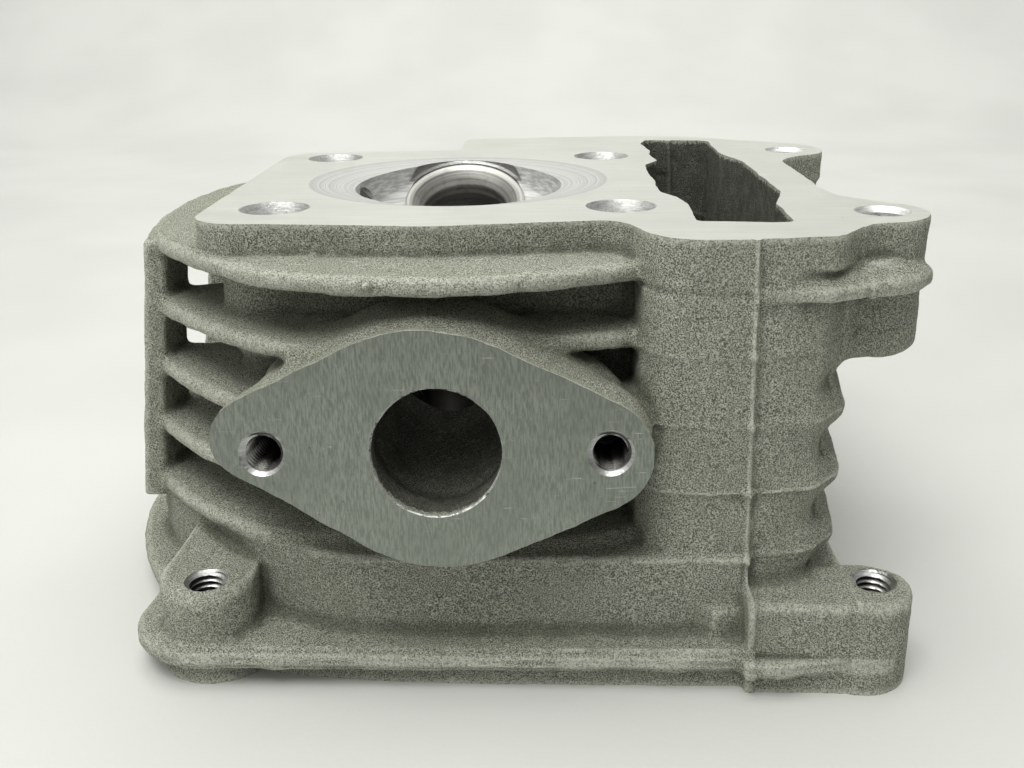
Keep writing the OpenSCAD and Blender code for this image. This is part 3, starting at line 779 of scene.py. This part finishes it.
def flange_material():
    """Milled joint face: close cutter lines, crossing scratches, small nicks."""
    m = Mat("flange_milled")
    lines = m.noise(1.0, 4.0, 0.7, vec=m.vec(scale=(4.2, 4.2, 0.12), rot=(0, 7, 0)))
    arcs = m.node("ShaderNodeTexWave", wave_type="RINGS", rings_direction="Y", wave_profile="SIN")
    m.link(m.vec(scale=(1, 0, 1), move=(95, 0, 60)), arcs.inputs["Vector"])
    arcs.inputs["Scale"].default_value = 0.42
    arcs.inputs["Distortion"].default_value = 1.2
    arcs.inputs["Detail"].default_value = 2.0
    arcs.inputs["Detail Scale"].default_value = 0.4
    cross = m.noise(1.0, 3.0, 0.7, vec=m.vec(scale=(0.16, 1, 3.2), rot=(0, 38, 0)))
    cloud = m.noise(9.0, 3.0, 0.5)
    c = m.mix(m.ramp(lines, 0.36, 0.64), (0.225, 0.245, 0.215, 1), (0.36, 0.385, 0.345, 1))
    c = m.mix(m.ramp(cloud, 0.35, 0.7, 0.0, 0.4), c, (0.235, 0.255, 0.225, 1))
    scratch = m.ramp(cross, 0.66, 0.72)
    c = m.mix(m.math("MULTIPLY", scratch, 0.5), c, grey(0.6, 0.0))
    nick = m.ramp(m.spots(5.2), 0.0, 0.06, 1.0, 0.0)
    c = m.mix(m.math("MULTIPLY", nick, 0.7), c, grey(0.1, 0.02))
    r = m.ramp(lines, 0.3, 0.7, 0.40, 0.56)
    m.bump(lines, 0.02)
    m.bump(arcs.outputs["Fac"], 0.010)
    m.bump(scratch, -0.02)
    m.bump(nick, -0.08)
    return m.done(c, r)


def bore_material(name="bore_cut", base=0.66, rough=0.34, torn=0.5, metallic=1.0):
    """Drilled, bored and chamfered metal: bright, with turning rings and a little tearing."""
    m = Mat(name, metallic)
    ring = m.noise(1.0, 3.0, 0.6, vec=m.vec(scale=(0.5, 0.5, 4.5)))
    tear = m.noise(0.5, 4.0, 0.7)
    c = m.mix(m.ramp(ring, 0.35, 0.65), grey(base * 0.82), grey(base * 1.12))
    c = m.mix(m.ramp(tear, 0.56, 0.7, 0.0, torn), c, grey(base * 0.45, 0.01))
    m.bump(ring, 0.03)
    m.bump(tear, 0.1 * torn)
    return m.done(c, m.ramp(tear, 0.3, 0.7, rough - 0.05, rough + 0.16))


def thread_material(name, axis):
    """Tapped thread with painted light: bright crests as painted highlight and dark roots as painted shade, one
    millimetre apart.
    """
    m = Mat(name)
    sep = m.node("ShaderNodeSeparateXYZ")
    m.link(m.p, sep.inputs[0])
    turn = m.math("SINE", m.math("MULTIPLY", sep.outputs[axis], 2 * math.pi))
    tear = m.noise(0.4, 3.0, 0.6)
    # painted highlight and painted shade: the colour swings from near black to bright once per millimetre along the
    # axis
    c = m.mix(m.ramp(turn, -0.7, 0.6), grey(0.07, 0.03), grey(0.62, 0.01))
    c = m.mix(m.ramp(tear, 0.5, 0.7, 0.0, 0.6), c, grey(0.16, 0.02))
    m.bump(tear, 0.03)
    return m.done(c, m.ramp(tear, 0.3, 0.7, 0.3, 0.48))


def turned_steel(name, base=0.6, tint=0.0, rough=0.24, pitch=0.18, blot=0.45, metallic=1.0):
    """Turned ring: concentric tool lines in the piece's own local coordinates."""
    m = Mat(name, metallic)
    sep = m.node("ShaderNodeSeparateXYZ")
    m.link(m.p, sep.inputs[0])
    rad = m.math("SQRT", m.math("ADD", m.math("POWER", sep.outputs[0], 2.0), m.math("POWER", sep.outputs[1], 2.0)))
    comb = m.node("ShaderNodeCombineXYZ")
    m.link(m.math("DIVIDE", rad, pitch), comb.inputs[0])
    m.link(m.math("DIVIDE", sep.outputs[2], pitch), comb.inputs[1])
    lines = m.noise(1.0, 2.0, 0.5, vec=comb.outputs[0])
    chatter = m.noise(2.6, 3.0, 0.6)
    c = m.mix(m.ramp(lines, 0.35, 0.65), grey(base * 0.78, tint), grey(base * 1.15, tint))
    c = m.mix(m.ramp(chatter, 0.5, 0.74, 0.0, blot), c, grey(base * 0.5, tint + 0.02))
    m.bump(lines, 0.012)
    m.bump(chatter, 0.02)
    return m.done(c, m.ramp(lines, 0.3, 0.7, rough, rough + 0.14))


def guide_material():
    """Sintered iron guide: darker, with open pores and a light oil tone."""
    m = Mat("guide_sintered")
    pore = m.spots(0.42)
    tone = m.noise(3.5, 3.0, 0.55)
    c = m.mix(m.ramp(tone, 0.35, 0.65), grey(0.20, 0.06), grey(0.30, 0.05))
    c = m.mix(m.ramp(pore, 0.0, 0.22, 0.8, 0.0), c, grey(0.06, 0.05))
    m.bump(m.ramp(pore, 0.0, 0.2), 0.05)
    m.bump(m.noise(0.8, 3.0, 0.6), 0.03)
    return m.done(c, m.ramp(tone, 0.3, 0.7, 0.38, 0.55))


def zinc_material():
    """Zinc-plated stud: pale, slightly yellow, blotchy passivation and worn crests."""
    m = Mat("stud_zinc")
    tone = m.noise(2.4, 4.0, 0.6)
    fine = m.noise(0.3, 3.0, 0.6)
    c = m.mix(m.ramp(tone, 0.32, 0.68), grey(0.50, 0.09), grey(0.66, 0.04))
    c = m.mix(m.ramp(fine, 0.56, 0.72, 0.0, 0.5), c, grey(0.30, 0.05))
    m.bump(fine, 0.02)
    return m.done(c, m.ramp(tone, 0.3, 0.7, 0.26, 0.42))


def wire_material():
    """Drawn spring wire: dark oil-hardened skin with lengthwise draw lines."""
    m = Mat("spring_wire")
    fine = m.noise(0.25, 3.0, 0.6)
    tone = m.noise(1.8, 2.0, 0.5)
    c = m.mix(m.ramp(tone, 0.35, 0.65), grey(0.17, 0.03), grey(0.30, 0.02))
    m.bump(fine, 0.015)
    return m.done(c, m.ramp(fine, 0.3, 0.7, 0.28, 0.45))


def floor_material():
    m = Mat("studio_floor", metallic=0.0)
    c = m.mix(m.ramp(m.noise(90.0, 2.0, 0.5), 0.3, 0.7), (0.57, 0.57, 0.56, 1), (0.61, 0.61, 0.60, 1))
    m.bump(m.noise(1.2, 2.0, 0.5), 0.05)
    m.b.inputs["Specular IOR Level"].default_value = 0.2
    return m.done(c, 0.8)


MAT_CAST = cast_material("cast_alloy_blasted", 0.385)
# darker base and dark blotches: painted shade for the insides of ports, slot and cam box
MAT_PORT = cast_material("cast_alloy_inside", 0.24, dark=0.5, rough=0.72, grain=1.5)
MAT_DECK = deck_material()
MAT_FLANGE = flange_material()
MAT_BORE = bore_material("bore_cut", 0.46, 0.38)
MAT_MOUTH = bore_material("bore_drilled", 0.74, 0.46, torn=0.95)
MAT_CHAMBER = turned_steel("chamber_cut", 0.66, 0.0, 0.56, 0.5, 0.12, 0.55)
MAT_SQUISH = turned_steel("squish_turned", 0.57, 0.005, 0.52, 0.2, 0.1)
MAT_THREAD_Y = thread_material("thread_tapped_side", 1)
MAT_THREAD_Z = thread_material("thread_tapped_down", 2)
MAT_SEAT = turned_steel("valve_seat_turned", 0.44, 0.03, 0.42, 0.34)
MAT_GUIDE = guide_material()
MAT_STUD = zinc_material()
MAT_WIRE = wire_material()

# ---------------------------------------------------------------- the casting


def lens_solid():
    """Combustion chamber: where a sphere and an almond-shaped wall meet."""
    hw, hl, R, zc = 18.4, 24.5, 30.0, 16.6
    lr = (hl * hl + hw * hw) / (2 * hw)
    top = 3.0
    ring = []
    n = 60
    for side in (1, -1):
        a = math.atan2(hl, lr - hw)
        for i in range(n):
            t = -a + 2 * a * i / n
            x, y = lr * math.cos(t) - (lr - hw), lr * math.sin(t)
            ring.append((side * x, side * y))
    N = len(ring)
    verts, faces = [(0, 0, zc - R)], []
    steps = [0.08, 0.16, 0.24, 0.32, 0.4, 0.48, 0.56, 0.64, 0.72, 0.79, 0.85, 0.9, 0.94, 0.97, 0.99, 1.0]
    for s in steps:
        for x, y in ring:
            q = R * R - (x * x + y * y) * s * s
            z = zc - math.sqrt(q)
            lift = max(0.0, (s - 0.9) / 0.1) ** 2 * 0.8
            verts.append((x * s, y * s, z + lift * (1 - s * 0.0)))
    for i in range(N):
        faces.append((0, 1 + (i + 1) % N, 1 + i))
    for k in range(len(steps) - 1):
        a, b = 1 + k * N, 1 + (k + 1) * N
        for i in range(N):
            j = (i + 1) % N
            faces.append((a + i, a + j, b + j, b + i))
    a = 1 + (len(steps) - 1) * N
    b = len(verts)
    verts += [(x, y, top) for x, y in ring]
    for i in range(N):
        j = (i + 1) % N
        faces.append((a + i, a + j, b + j, b + i))
    faces.append(tuple(b + i for i in range(N)))
    return verts, faces


def make_casting():
    field = grow_casting()
    me = field_mesh(field, "head_casting_skin")
    ob = bpy.data.objects.new("head_casting_skin", me)
    bpy.context.scene.collection.objects.link(ob)
    me.materials.append(MAT_CAST)
    d = ob.modifiers.new("thin", "DECIMATE")
    d.ratio = 0.31
    dg = bpy.context.evaluated_depsgraph_get()
    new = bpy.data.meshes.new_from_object(ob.evaluated_get(dg))
    ob.modifiers.clear()
    ob.data = new
    bpy.data.meshes.remove(me)
    I = Matrix.Identity(4)
    carve(ob, cutter("deck", [(I, slab_cutter(-80, 90, -80, 90, 0, 12))], MAT_DECK))
    carve(ob, cutter("cover", [(I, slab_cutter(-80, 90, -80, 90, -80, -67, low=False))], MAT_DECK))
    carve(ob, cutter("joint_faces", [(AT_IN, slab_cutter(-36, 36, -25, 25, 0, 9)),
                                     (AT_EX, slab_cutter(-40, 40, -26, 26, 0, 9))], MAT_FLANGE))
    # gasket step round the exhaust port
    carve(ob, cutter("ring_step", [(AT_EX, rod_solid(28, -2.5, 3, 96))], MAT_BORE))
    # step for the cylinder, and the chamber
    carve(ob, cutter("squish", [(I, lathe([(0, -1.62), (15, -1.62), (26.2, -0.055), (26.6, 0.0), (27.6, 0.14), (27.6, 5), (0, 5)], 200))], MAT_SQUISH))
    carve(ob, cutter("chamber", [(I, lens_solid())], MAT_CHAMBER))
    for s, d, thr in ((1, 23.2, 16.6), (-1, 26.0, 19.4)):
        V = at_valve(s)
        carve(ob, cutter("seat_pocket", [(V, lathe([(0, -6), (d / 2, -6), (d / 2, 0.55), (d / 2 + 0.45, 0.9), (d / 2 + 0.45, 26), (0, 26)], 112))], MAT_BORE))
        carve(ob, cutter("throat", [(V, rod_solid(thr + 0.8, -13, -5.5, 80)),
                                    (V, lathe([(0, -56), (11, -56), (11, -40.8), (10.2, -40), (0, -40)], 72))], MAT_BORE))
        carve(ob, cutter("guide_bore", [(V, rod_solid(10.0, -45, -18, 48))], MAT_BORE))
    # stud holes, with the chamfered mouths
    tools = [(at(x, y, 0), lathe([(0, -60), (4.5, -60), (4.5, -2.2), (5.5, 0.0), (5.68, 0.4), (0, 0.4)], 56))
             for x in (-SP, SP) for y in (-SP, SP)]
    tools += [(at(x, y, 0), lathe([(0, -24), (3.3, -24), (3.3, -0.85), (4.15, 0), (4.55, 0.4), (0, 0.4)], 48)) for x, y in EARS]
    carve(ob, cutter("stud_holes", tools, MAT_MOUTH))
    # stud boss ends and cam bores
    carve(ob, cutter("boss_ends", [(at(x, y, 0), rod_solid(20, -62, -57, 64)) for x in (-SP, SP) for y in (-SP, SP)], MAT_BORE))
    carve(ob, cutter("cam_bores", [(at(-35, 0, -60, ry=90), rod_solid(30, 0, 12, 96)),
                                   (at(21, 0, -60, ry=90), rod_solid(36, 0, 14, 96))], MAT_BORE))
    # threads: intake flange, cover bosses, plug
    carve(ob, cutter("threads_side", [(AT_IN @ at(s * 24), thread_solid(2.42, 3.04, 1.0, -14, 0.6)) for s in (-1, 1)],
                     MAT_THREAD_Y))
    carve(ob, cutter("threads_down", [(at(x, s * 51, 0), thread_solid(2.42, 3.04, 1.0, -68, -50.8))
                                      for s in (-1, 1) for x in (-36.4, 64.2)], MAT_THREAD_Z))
    tools = []
    for s in (-1, 1):
        tools.append((AT_IN @ at(s * 24), lathe([(0, -0.75), (2.62, -0.55), (3.28, 0), (3.68, 0.4), (0, 0.4)], 48)))
        for x, y in ((-36.4, s * 51), (64.2, s * 51)):
            tools.append((at(x, y, 0), lathe([(0, -53.0), (2.7, -52.6), (3.3, -52.1), (3.3, -51.2), (0, -51.2)], 48)))
    carve(ob, cutter("chamfers", tools, MAT_BORE))
    carve(ob, cutter("port_edge", [(AT_IN, lathe([(0, -0.45), (8.85, -0.45), (9.22, 0), (9.45, 0.3), (0, 0.3)], 96))], MAT_MOUTH))
    carve(ob, cutter("plug_hole", [(AT_PLUG, thread_solid(4.45, 5.0, 1.0, -12, 13.4))], MAT_BORE))
    carve(ob, cutter("plug_seat", [(AT_PLUG, lathe([(0, 12.2), (4.8, 12.2), (5.6, 13.0), (8.6, 13.0), (8.6, 16), (0, 16)], 64))], MAT_BORE))
    carve(ob, cutter("stud_seat", [(AT_EX @ at(s * 22.5), rod_solid(6.8, -15, 1, 40)) for s in (-1, 1)], MAT_BORE))
    islands = largest_island(ob.data)
    bm = bmesh.new()
    bm.from_mesh(ob.data)
    bmesh.ops.triangulate(bm, faces=[p for p in bm.faces if len(p.verts) > 4])
    bm.to_mesh(ob.data)
    bm.free()
    return ob, field, islands


def blurred(F, h, sigma):
    """The field smoothed with a Gaussian, minus the field: its curvature."""
    shape = F.shape
    k2 = (np.fft.fftfreq(shape[0], h)[:, None, None] ** 2 + np.fft.fftfreq(shape[1], h)[None, :, None] ** 2
          + np.fft.rfftfreq(shape[2], h)[None, None, :] ** 2)
    g = np.exp(-2 * (math.pi * sigma) ** 2 * k2)
    return np.fft.irfftn(np.fft.rfftn(F) * g, s=shape, axes=(0, 1, 2)).astype(np.float32) - F


def sample(G, field, co):
    q = (co - field.lo) / field.h
    i = np.clip(np.floor(q).astype(int), 0, np.array(G.shape) - 2)
    t = np.clip(q - i, 0, 1)
    out = 0
    for dx in (0, 1):
        for dy in (0, 1):
            for dz in (0, 1):
                w = (t[:, 0] if dx else 1 - t[:, 0]) * (t[:, 1] if dy else 1 - t[:, 1]) * (t[:, 2] if dz else 1 - t[:, 2])
                out = out + w * G[i[:, 0] + dx, i[:, 1] + dy, i[:, 2] + dz]
    return out


def finish_casting(ob, field):
    me = ob.data
    me.name = "head_casting_skin"
    co = np.empty(len(me.vertices) * 3, np.float32)
    me.vertices.foreach_get("co", co)
    co = co.reshape(-1, 3) / MM
    # curvature of the finished shape: the rough field trimmed by the machined planes
    X, Y, Z = (a.reshape([-1 if i == j else 1 for j in range(3)]) for i, a in enumerate(field.ax))
    F = np.maximum(field.F, np.maximum(Z, -67 - Z))
    for M, w, hh in ((AT_IN, 36, 25), (AT_EX, 40, 26)):
        n = M.to_3x3() @ Vector((0, 0, 1))
        o = M.translation
        d = (X - o[0]) * n[0] + (Y - o[1]) * n[1] + (Z - o[2]) * n[2]
        near = (np.abs(X) < w) & (np.abs(Z - o[2]) < hh)
        F = np.where(near & (d > -3), np.maximum(F, d), F)
    F = np.clip(F, -4, 4).astype(np.float32)
    c = sample(blurred(F, field.h, 0.62), field, co)
    wide = sample(blurred(F, field.h, 2.4), field, co)
    # edge: convex curvature, which lightens the cast colour as wear and painted highlight
    edge = np.clip(c / 0.3, 0, 1) * 0.85 + np.clip(wide / 2.2, 0, 1) * 0.12
    c = sample(blurred(F, field.h, 0.9), field, co)
    # concave curvature of the finished shape, used to paint shade into the hollows
    hollow_shade = np.clip(-c / 0.45, 0, 1) * 0.7 + np.clip(-wide / 1.4, 0, 1) * 0.5
    # painted highlight: a bright, uneven line along the outer rim of the lower flange, merged into the edge mask
    rim_highlight = np.clip((np.abs(co[:, 1]) - 57.3) / 0.6, 0, 1) * np.clip(1.8 - np.abs(co[:, 2] + 62.0), 0, 1)
    rim_highlight *= 0.55 + 0.45 * np.sin(co[:, 0] * 0.31 + 1.0) * np.sin(co[:, 0] * 0.117)
    edge = np.maximum(edge, rim_highlight)
    for name, v in (("edge", edge), ("hollow_shade", hollow_shade)):
        a = me.attributes.new(name, "FLOAT", "POINT")
        a.data.foreach_set("value", np.clip(v, 0, 1).astype(np.float32))
    # the insides, where little light reaches, get the rougher skin with painted shade: a darker colour and dark
    # blotches
    mats = [m.name for m in me.materials]
    me.materials.append(MAT_PORT)
    port = len(me.materials) - 1
    n = len(me.polygons)
    idx = np.empty(n, np.int32)
    me.polygons.foreach_get("material_index", idx)
    cen = np.empty(n * 3, np.float32)
    me.polygons.foreach_get("center", cen)
    cen = cen.reshape(-1, 3) / MM
    x, y, z = cen.T
    cast = idx == mats.index(MAT_CAST.name)
    inside = np.zeros(n, bool)
    for s, p, q, ra, rb in ((-1, IN_FACE, (0, -53.05, -28.8), 9.0, 11.2), (1, EX_FACE, (0, 52, -27), 10.5, 10.3)):
        b = at_valve(s) @ Vector((0, 0, -14))
        for u, v, r in ((p, q, ra), (q, b, ra - (0.2 if s < 0 else 1.25)), (b, b, rb)):
            u, v = np.array(u, float), np.array(v, float)
            e = v - u
            tt = np.clip(((cen - u) @ e) / max(e @ e, 1e-9), 0, 1)
            inside |= (np.linalg.norm(cen - u - tt[:, None] * e, axis=1) < r + 1.3) & (s * y < 57.5 - (0 if s < 0 else 0.6))
    P = rounded(slot_line, 4)
    d2 = poly_distance(P, x, y)
    inside |= (d2 < 0.6) & (z < -0.6) & (z > -56)
    d2 = poly_distance(rounded(mirrored(cavity_half), 4), x, y)
    inside |= (d2 < 1.0) & (z < -48.5) & (z > -66.9)
    idx[cast & inside] = port
    me.polygons.foreach_set("material_index", idx)
    return mats


casting, field, islands = make_casting()
slots = finish_casting(casting, field)
casting.name = "head_casting_skin"
cast_me = casting.data
cast_me.polygons.foreach_set("use_smooth", [True] * len(cast_me.polygons))
cast_me.set_sharp_from_angle(angle=math.radians(38))
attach(casting, "root")
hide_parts("head_casting")

# ---------------------------------------------------------------- fitted pieces


def local_piece(name, M, solid, node, mat, smooth=35.0):
    """Made in its own turning frame, so its tool marks follow its axis."""
    verts, faces = solid
    me = mesh_from(name, [tuple(c * MM for c in v) for v in verts], faces)
    outward(me)
    ob = add_piece(name, me, node, [mat], smooth)
    ob.matrix_world = Matrix.LocRotScale(M.translation * MM, M.to_quaternion(), None)
    return ob


def seat_ring(d, thr):
    """Seat with its three cut angles, a rolled-in rim and a clean throat."""
    R, t = d / 2, thr / 2
    prof = [(t + 0.5, -6), (t, -5.5), (t, -2.3), (t + 0.08, -2.05), (t + 0.62, -1.15), (t + 0.74, -1.0),
            (t + 1.72, -0.02), (t + 1.86, 0.09), (t + 2.36, 0.34), (t + 2.5, 0.4), (R - 0.42, 0.47),
            (R - 0.16, 0.38), (R, 0.16), (R, -5.5), (R - 0.5, -6)]
    return tube(prof, 128)


def guide_tube():
    prof = [(2.5, -51.2), (2.5, -22.3), (2.8, -22), (4.6, -22), (5, -22.4), (5, -40.0), (4.35, -40.08), (4.3, -41.1), (5, -41.2),
            (5, -49.9), (4.7, -50.5), (3.9, -51.4), (3.3, -51.5), (2.8, -51.5)]
    return tube(prof, 72)


def wire_ring():
    """Open spring ring with its two ends turned out a little and rounded."""
    verts, faces = [], []
    n, m = 72, 14
    for i in range(n + 1):
        a = math.radians(300 * i / n)
        u = min(i, n - i) / n
        r = 4.85 + 0.1 * math.sin(a * 2)
        end = min(1.0, u * n / 2.0)
        w = 0.55 * (math.sqrt(max(1 - (1 - end) ** 2, 0.04)) if end < 1 else 1)
        for j in range(m):
            b = 2 * math.pi * j / m
            verts.append(((r + w * math.cos(b)) * math.cos(a), (r + w * math.cos(b)) * math.sin(a), w * math.sin(b)))
    for i in range(n):
        for j in range(m):
            k = (j + 1) % m
            faces.append((i * m + j, i * m + k, (i + 1) * m + k, (i + 1) * m + j))
    faces.append(tuple(range(m)))
    faces.append(tuple(n * m + j for j in reversed(range(m))))
    return verts, faces


def stud_solid():
    """M8 stud: threaded for the nut, plain in the middle, pointed end."""
    n, pitch = 56, 1.25
    zs = [-14 + 0.125 * i for i in range(int(34 / 0.125) + 1)]
    verts, faces = [(0, 0, -14)], []
    for z in zs:
        if z < 0.6:
            base, depth = 3.4, 0.0
        elif z < 3.2:
            base, depth = 4.0 - 0.35 * max(0, 1 - (z - 0.6) / 0.4), 0.0
        else:
            base, depth = 4.0, 0.62 * min(1.0, (z - 3.2) / 1.2)
        lim = 4.0 if z < 18.9 else 4.0 - (z - 18.9) * 0.85
        for i in range(n):
            t = (z / pitch - i / n) % 1.0
            tri = min(max((1 - abs(2 * t - 1)) * 1.25 - 0.12, 0), 1)
            r = min(base - depth * (1 - tri), lim)
            if z < 0.6:
                r = 3.4
            verts.append((r * math.cos(2 * math.pi * i / n), r * math.sin(2 * math.pi * i / n), z))
    verts.append((0, 0, 20.0))
    rows = len(zs)
    for i in range(n):
        faces.append((0, 1 + (i + 1) % n, 1 + i))
    for k in range(rows - 1):
        a, b = 1 + k * n, 1 + (k + 1) * n
        for i in range(n):
            j = (i + 1) % n
            faces.append((a + i, a + j, b + j, b + i))
    a = 1 + (rows - 1) * n
    for i in range(n):
        faces.append((a + i, a + (i + 1) % n, len(verts) - 1))
    return verts, faces


for side, s, d, thr in (("exhaust", 1, 23.2, 16.6), ("intake", -1, 26.0, 19.4)):
    V = at_valve(s)
    local_piece(side + "_seat_turned", V, seat_ring(d, thr), side + "_valve_seat", MAT_SEAT, 20)
    local_piece(side + "_guide_tube", V, guide_tube(), side + "_valve_guide", MAT_GUIDE)
    local_piece(side + "_clip_wire", V @ at(0, 0, -40.6), wire_ring(), side + "_guide_clip", MAT_WIRE, 60)
for side, s in (("left", -1), ("right", 1)):
    local_piece("exhaust_stud_" + side + "_m8", AT_EX @ at(s * 22.5), stud_solid(), "exhaust_stud_" + side, MAT_STUD)

# ---------------------------------------------------------------- stage, light, camera


def make_stage():
    """Pale floor that curves up into a far wall."""
    z0 = -67.0
    prof = [(-3000, 0), (-900, 0), (520, 0)] + [(520 + 380 * math.sin(math.radians(a)), 380 * (1 - math.cos(math.radians(a)))) for a in range(6, 91, 6)] + [(900, 1300)]
    xs = [-3000 + 6000 * i / 24 for i in range(25)]
    verts = [(x * MM, y * MM, (z0 + z) * MM) for y, z in prof for x in xs]
    n = len(xs)
    faces = [(k * n + i, k * n + i + 1, (k + 1) * n + i + 1, (k + 1) * n + i) for k in range(len(prof) - 1) for i in range(n - 1)]
    me = mesh_from("studio_sweep", verts, faces)
    me.polygons.foreach_set("use_smooth", [True] * len(me.polygons))
    me.materials.append(floor_material())
    ob = bpy.data.objects.new("studio_sweep", me)
    bpy.context.scene.collection.objects.link(ob)
    return ob


def softbox(name, pos, target, size, watts, color=(0.99, 1.0, 0.945)):
    L = bpy.data.lights.new(name, "AREA")
    L.shape = "RECTANGLE"
    L.size, L.size_y = size[0] * MM, size[1] * MM
    L.energy = watts
    L.color = color
    ob = bpy.data.objects.new(name, L)
    bpy.context.scene.collection.objects.link(ob)
    p, t = Vector(pos) * MM, Vector(target) * MM
    ob.location = p
    ob.rotation_euler = (t - p).to_track_quat("-Z", "Y").to_euler()
    return ob


make_stage()
softbox("overhead", (-60, 60, 620), (0, 0, -20), (760, 640), 4.0)
softbox("front_top", (-90, -330, 520), (0, -40, -45), (320, 280), 2.2)
softbox("front_left", (-480, -420, 260), (0, -20, -30), (420, 420), 0.5)
softbox("backdrop", (0, 560, 460), (0, 800, -40), (1500, 260), 3.2)

world = bpy.data.worlds.new("studio")
bpy.context.scene.world = world
world.use_nodes = True
wt = world.node_tree
bg = wt.nodes["Background"]
wc = wt.nodes.new("ShaderNodeTexCoord")
ws = wt.nodes.new("ShaderNodeSeparateXYZ")
wr = wt.nodes.new("ShaderNodeMapRange")
wt.links.new(wc.outputs["Generated"], ws.inputs[0])
wt.links.new(ws.outputs[2], wr.inputs[0])
for i, v in ((1, -0.1), (2, 0.6), (3, 0.08), (4, 0.42)):
    wr.inputs[i].default_value = v
wx = wt.nodes.new("ShaderNodeMapRange")         # a little darker to the right
wt.links.new(ws.outputs[0], wx.inputs[0])
for i, v in ((1, -1.0), (2, 1.0), (3, 1.2), (4, 0.7)):
    wx.inputs[i].default_value = v
wm = wt.nodes.new("ShaderNodeMath")
wm.operation = "MULTIPLY"
wt.links.new(wr.outputs[0], wm.inputs[0])
wt.links.new(wx.outputs[0], wm.inputs[1])
wt.links.new(wm.outputs[0], bg.inputs[1])
bg.inputs[0].default_value = (0.985, 1.0, 0.94, 1)

cam = bpy.data.cameras.new("camera")
cam.sensor_width = 36.0
cam.lens = 1060 / 1024 * 36.0
cam.clip_start = 0.01
cam_ob = bpy.data.objects.new("camera", cam)
bpy.context.scene.collection.objects.link(cam_ob)
th, ps, ro = 0.3522, -0.0261, -0.0121
fwd = Vector((math.sin(ps) * math.cos(th), math.cos(ps) * math.cos(th), -math.sin(th)))
right = Vector((math.cos(ps), -math.sin(ps), 0.0))
up = right.cross(fwd)
r_ax = right * math.cos(ro) + up * math.sin(ro)
u_ax = -right * math.sin(ro) + up * math.cos(ro)
R = Matrix((r_ax, u_ax, -fwd)).transposed().to_4x4()
cam_ob.matrix_world = Matrix.Translation(Vector((14.07, -190.89, 30.90)) * MM) @ R
bpy.context.scene.camera = cam_ob
bpy.context.scene.view_settings.view_transform = "Standard"
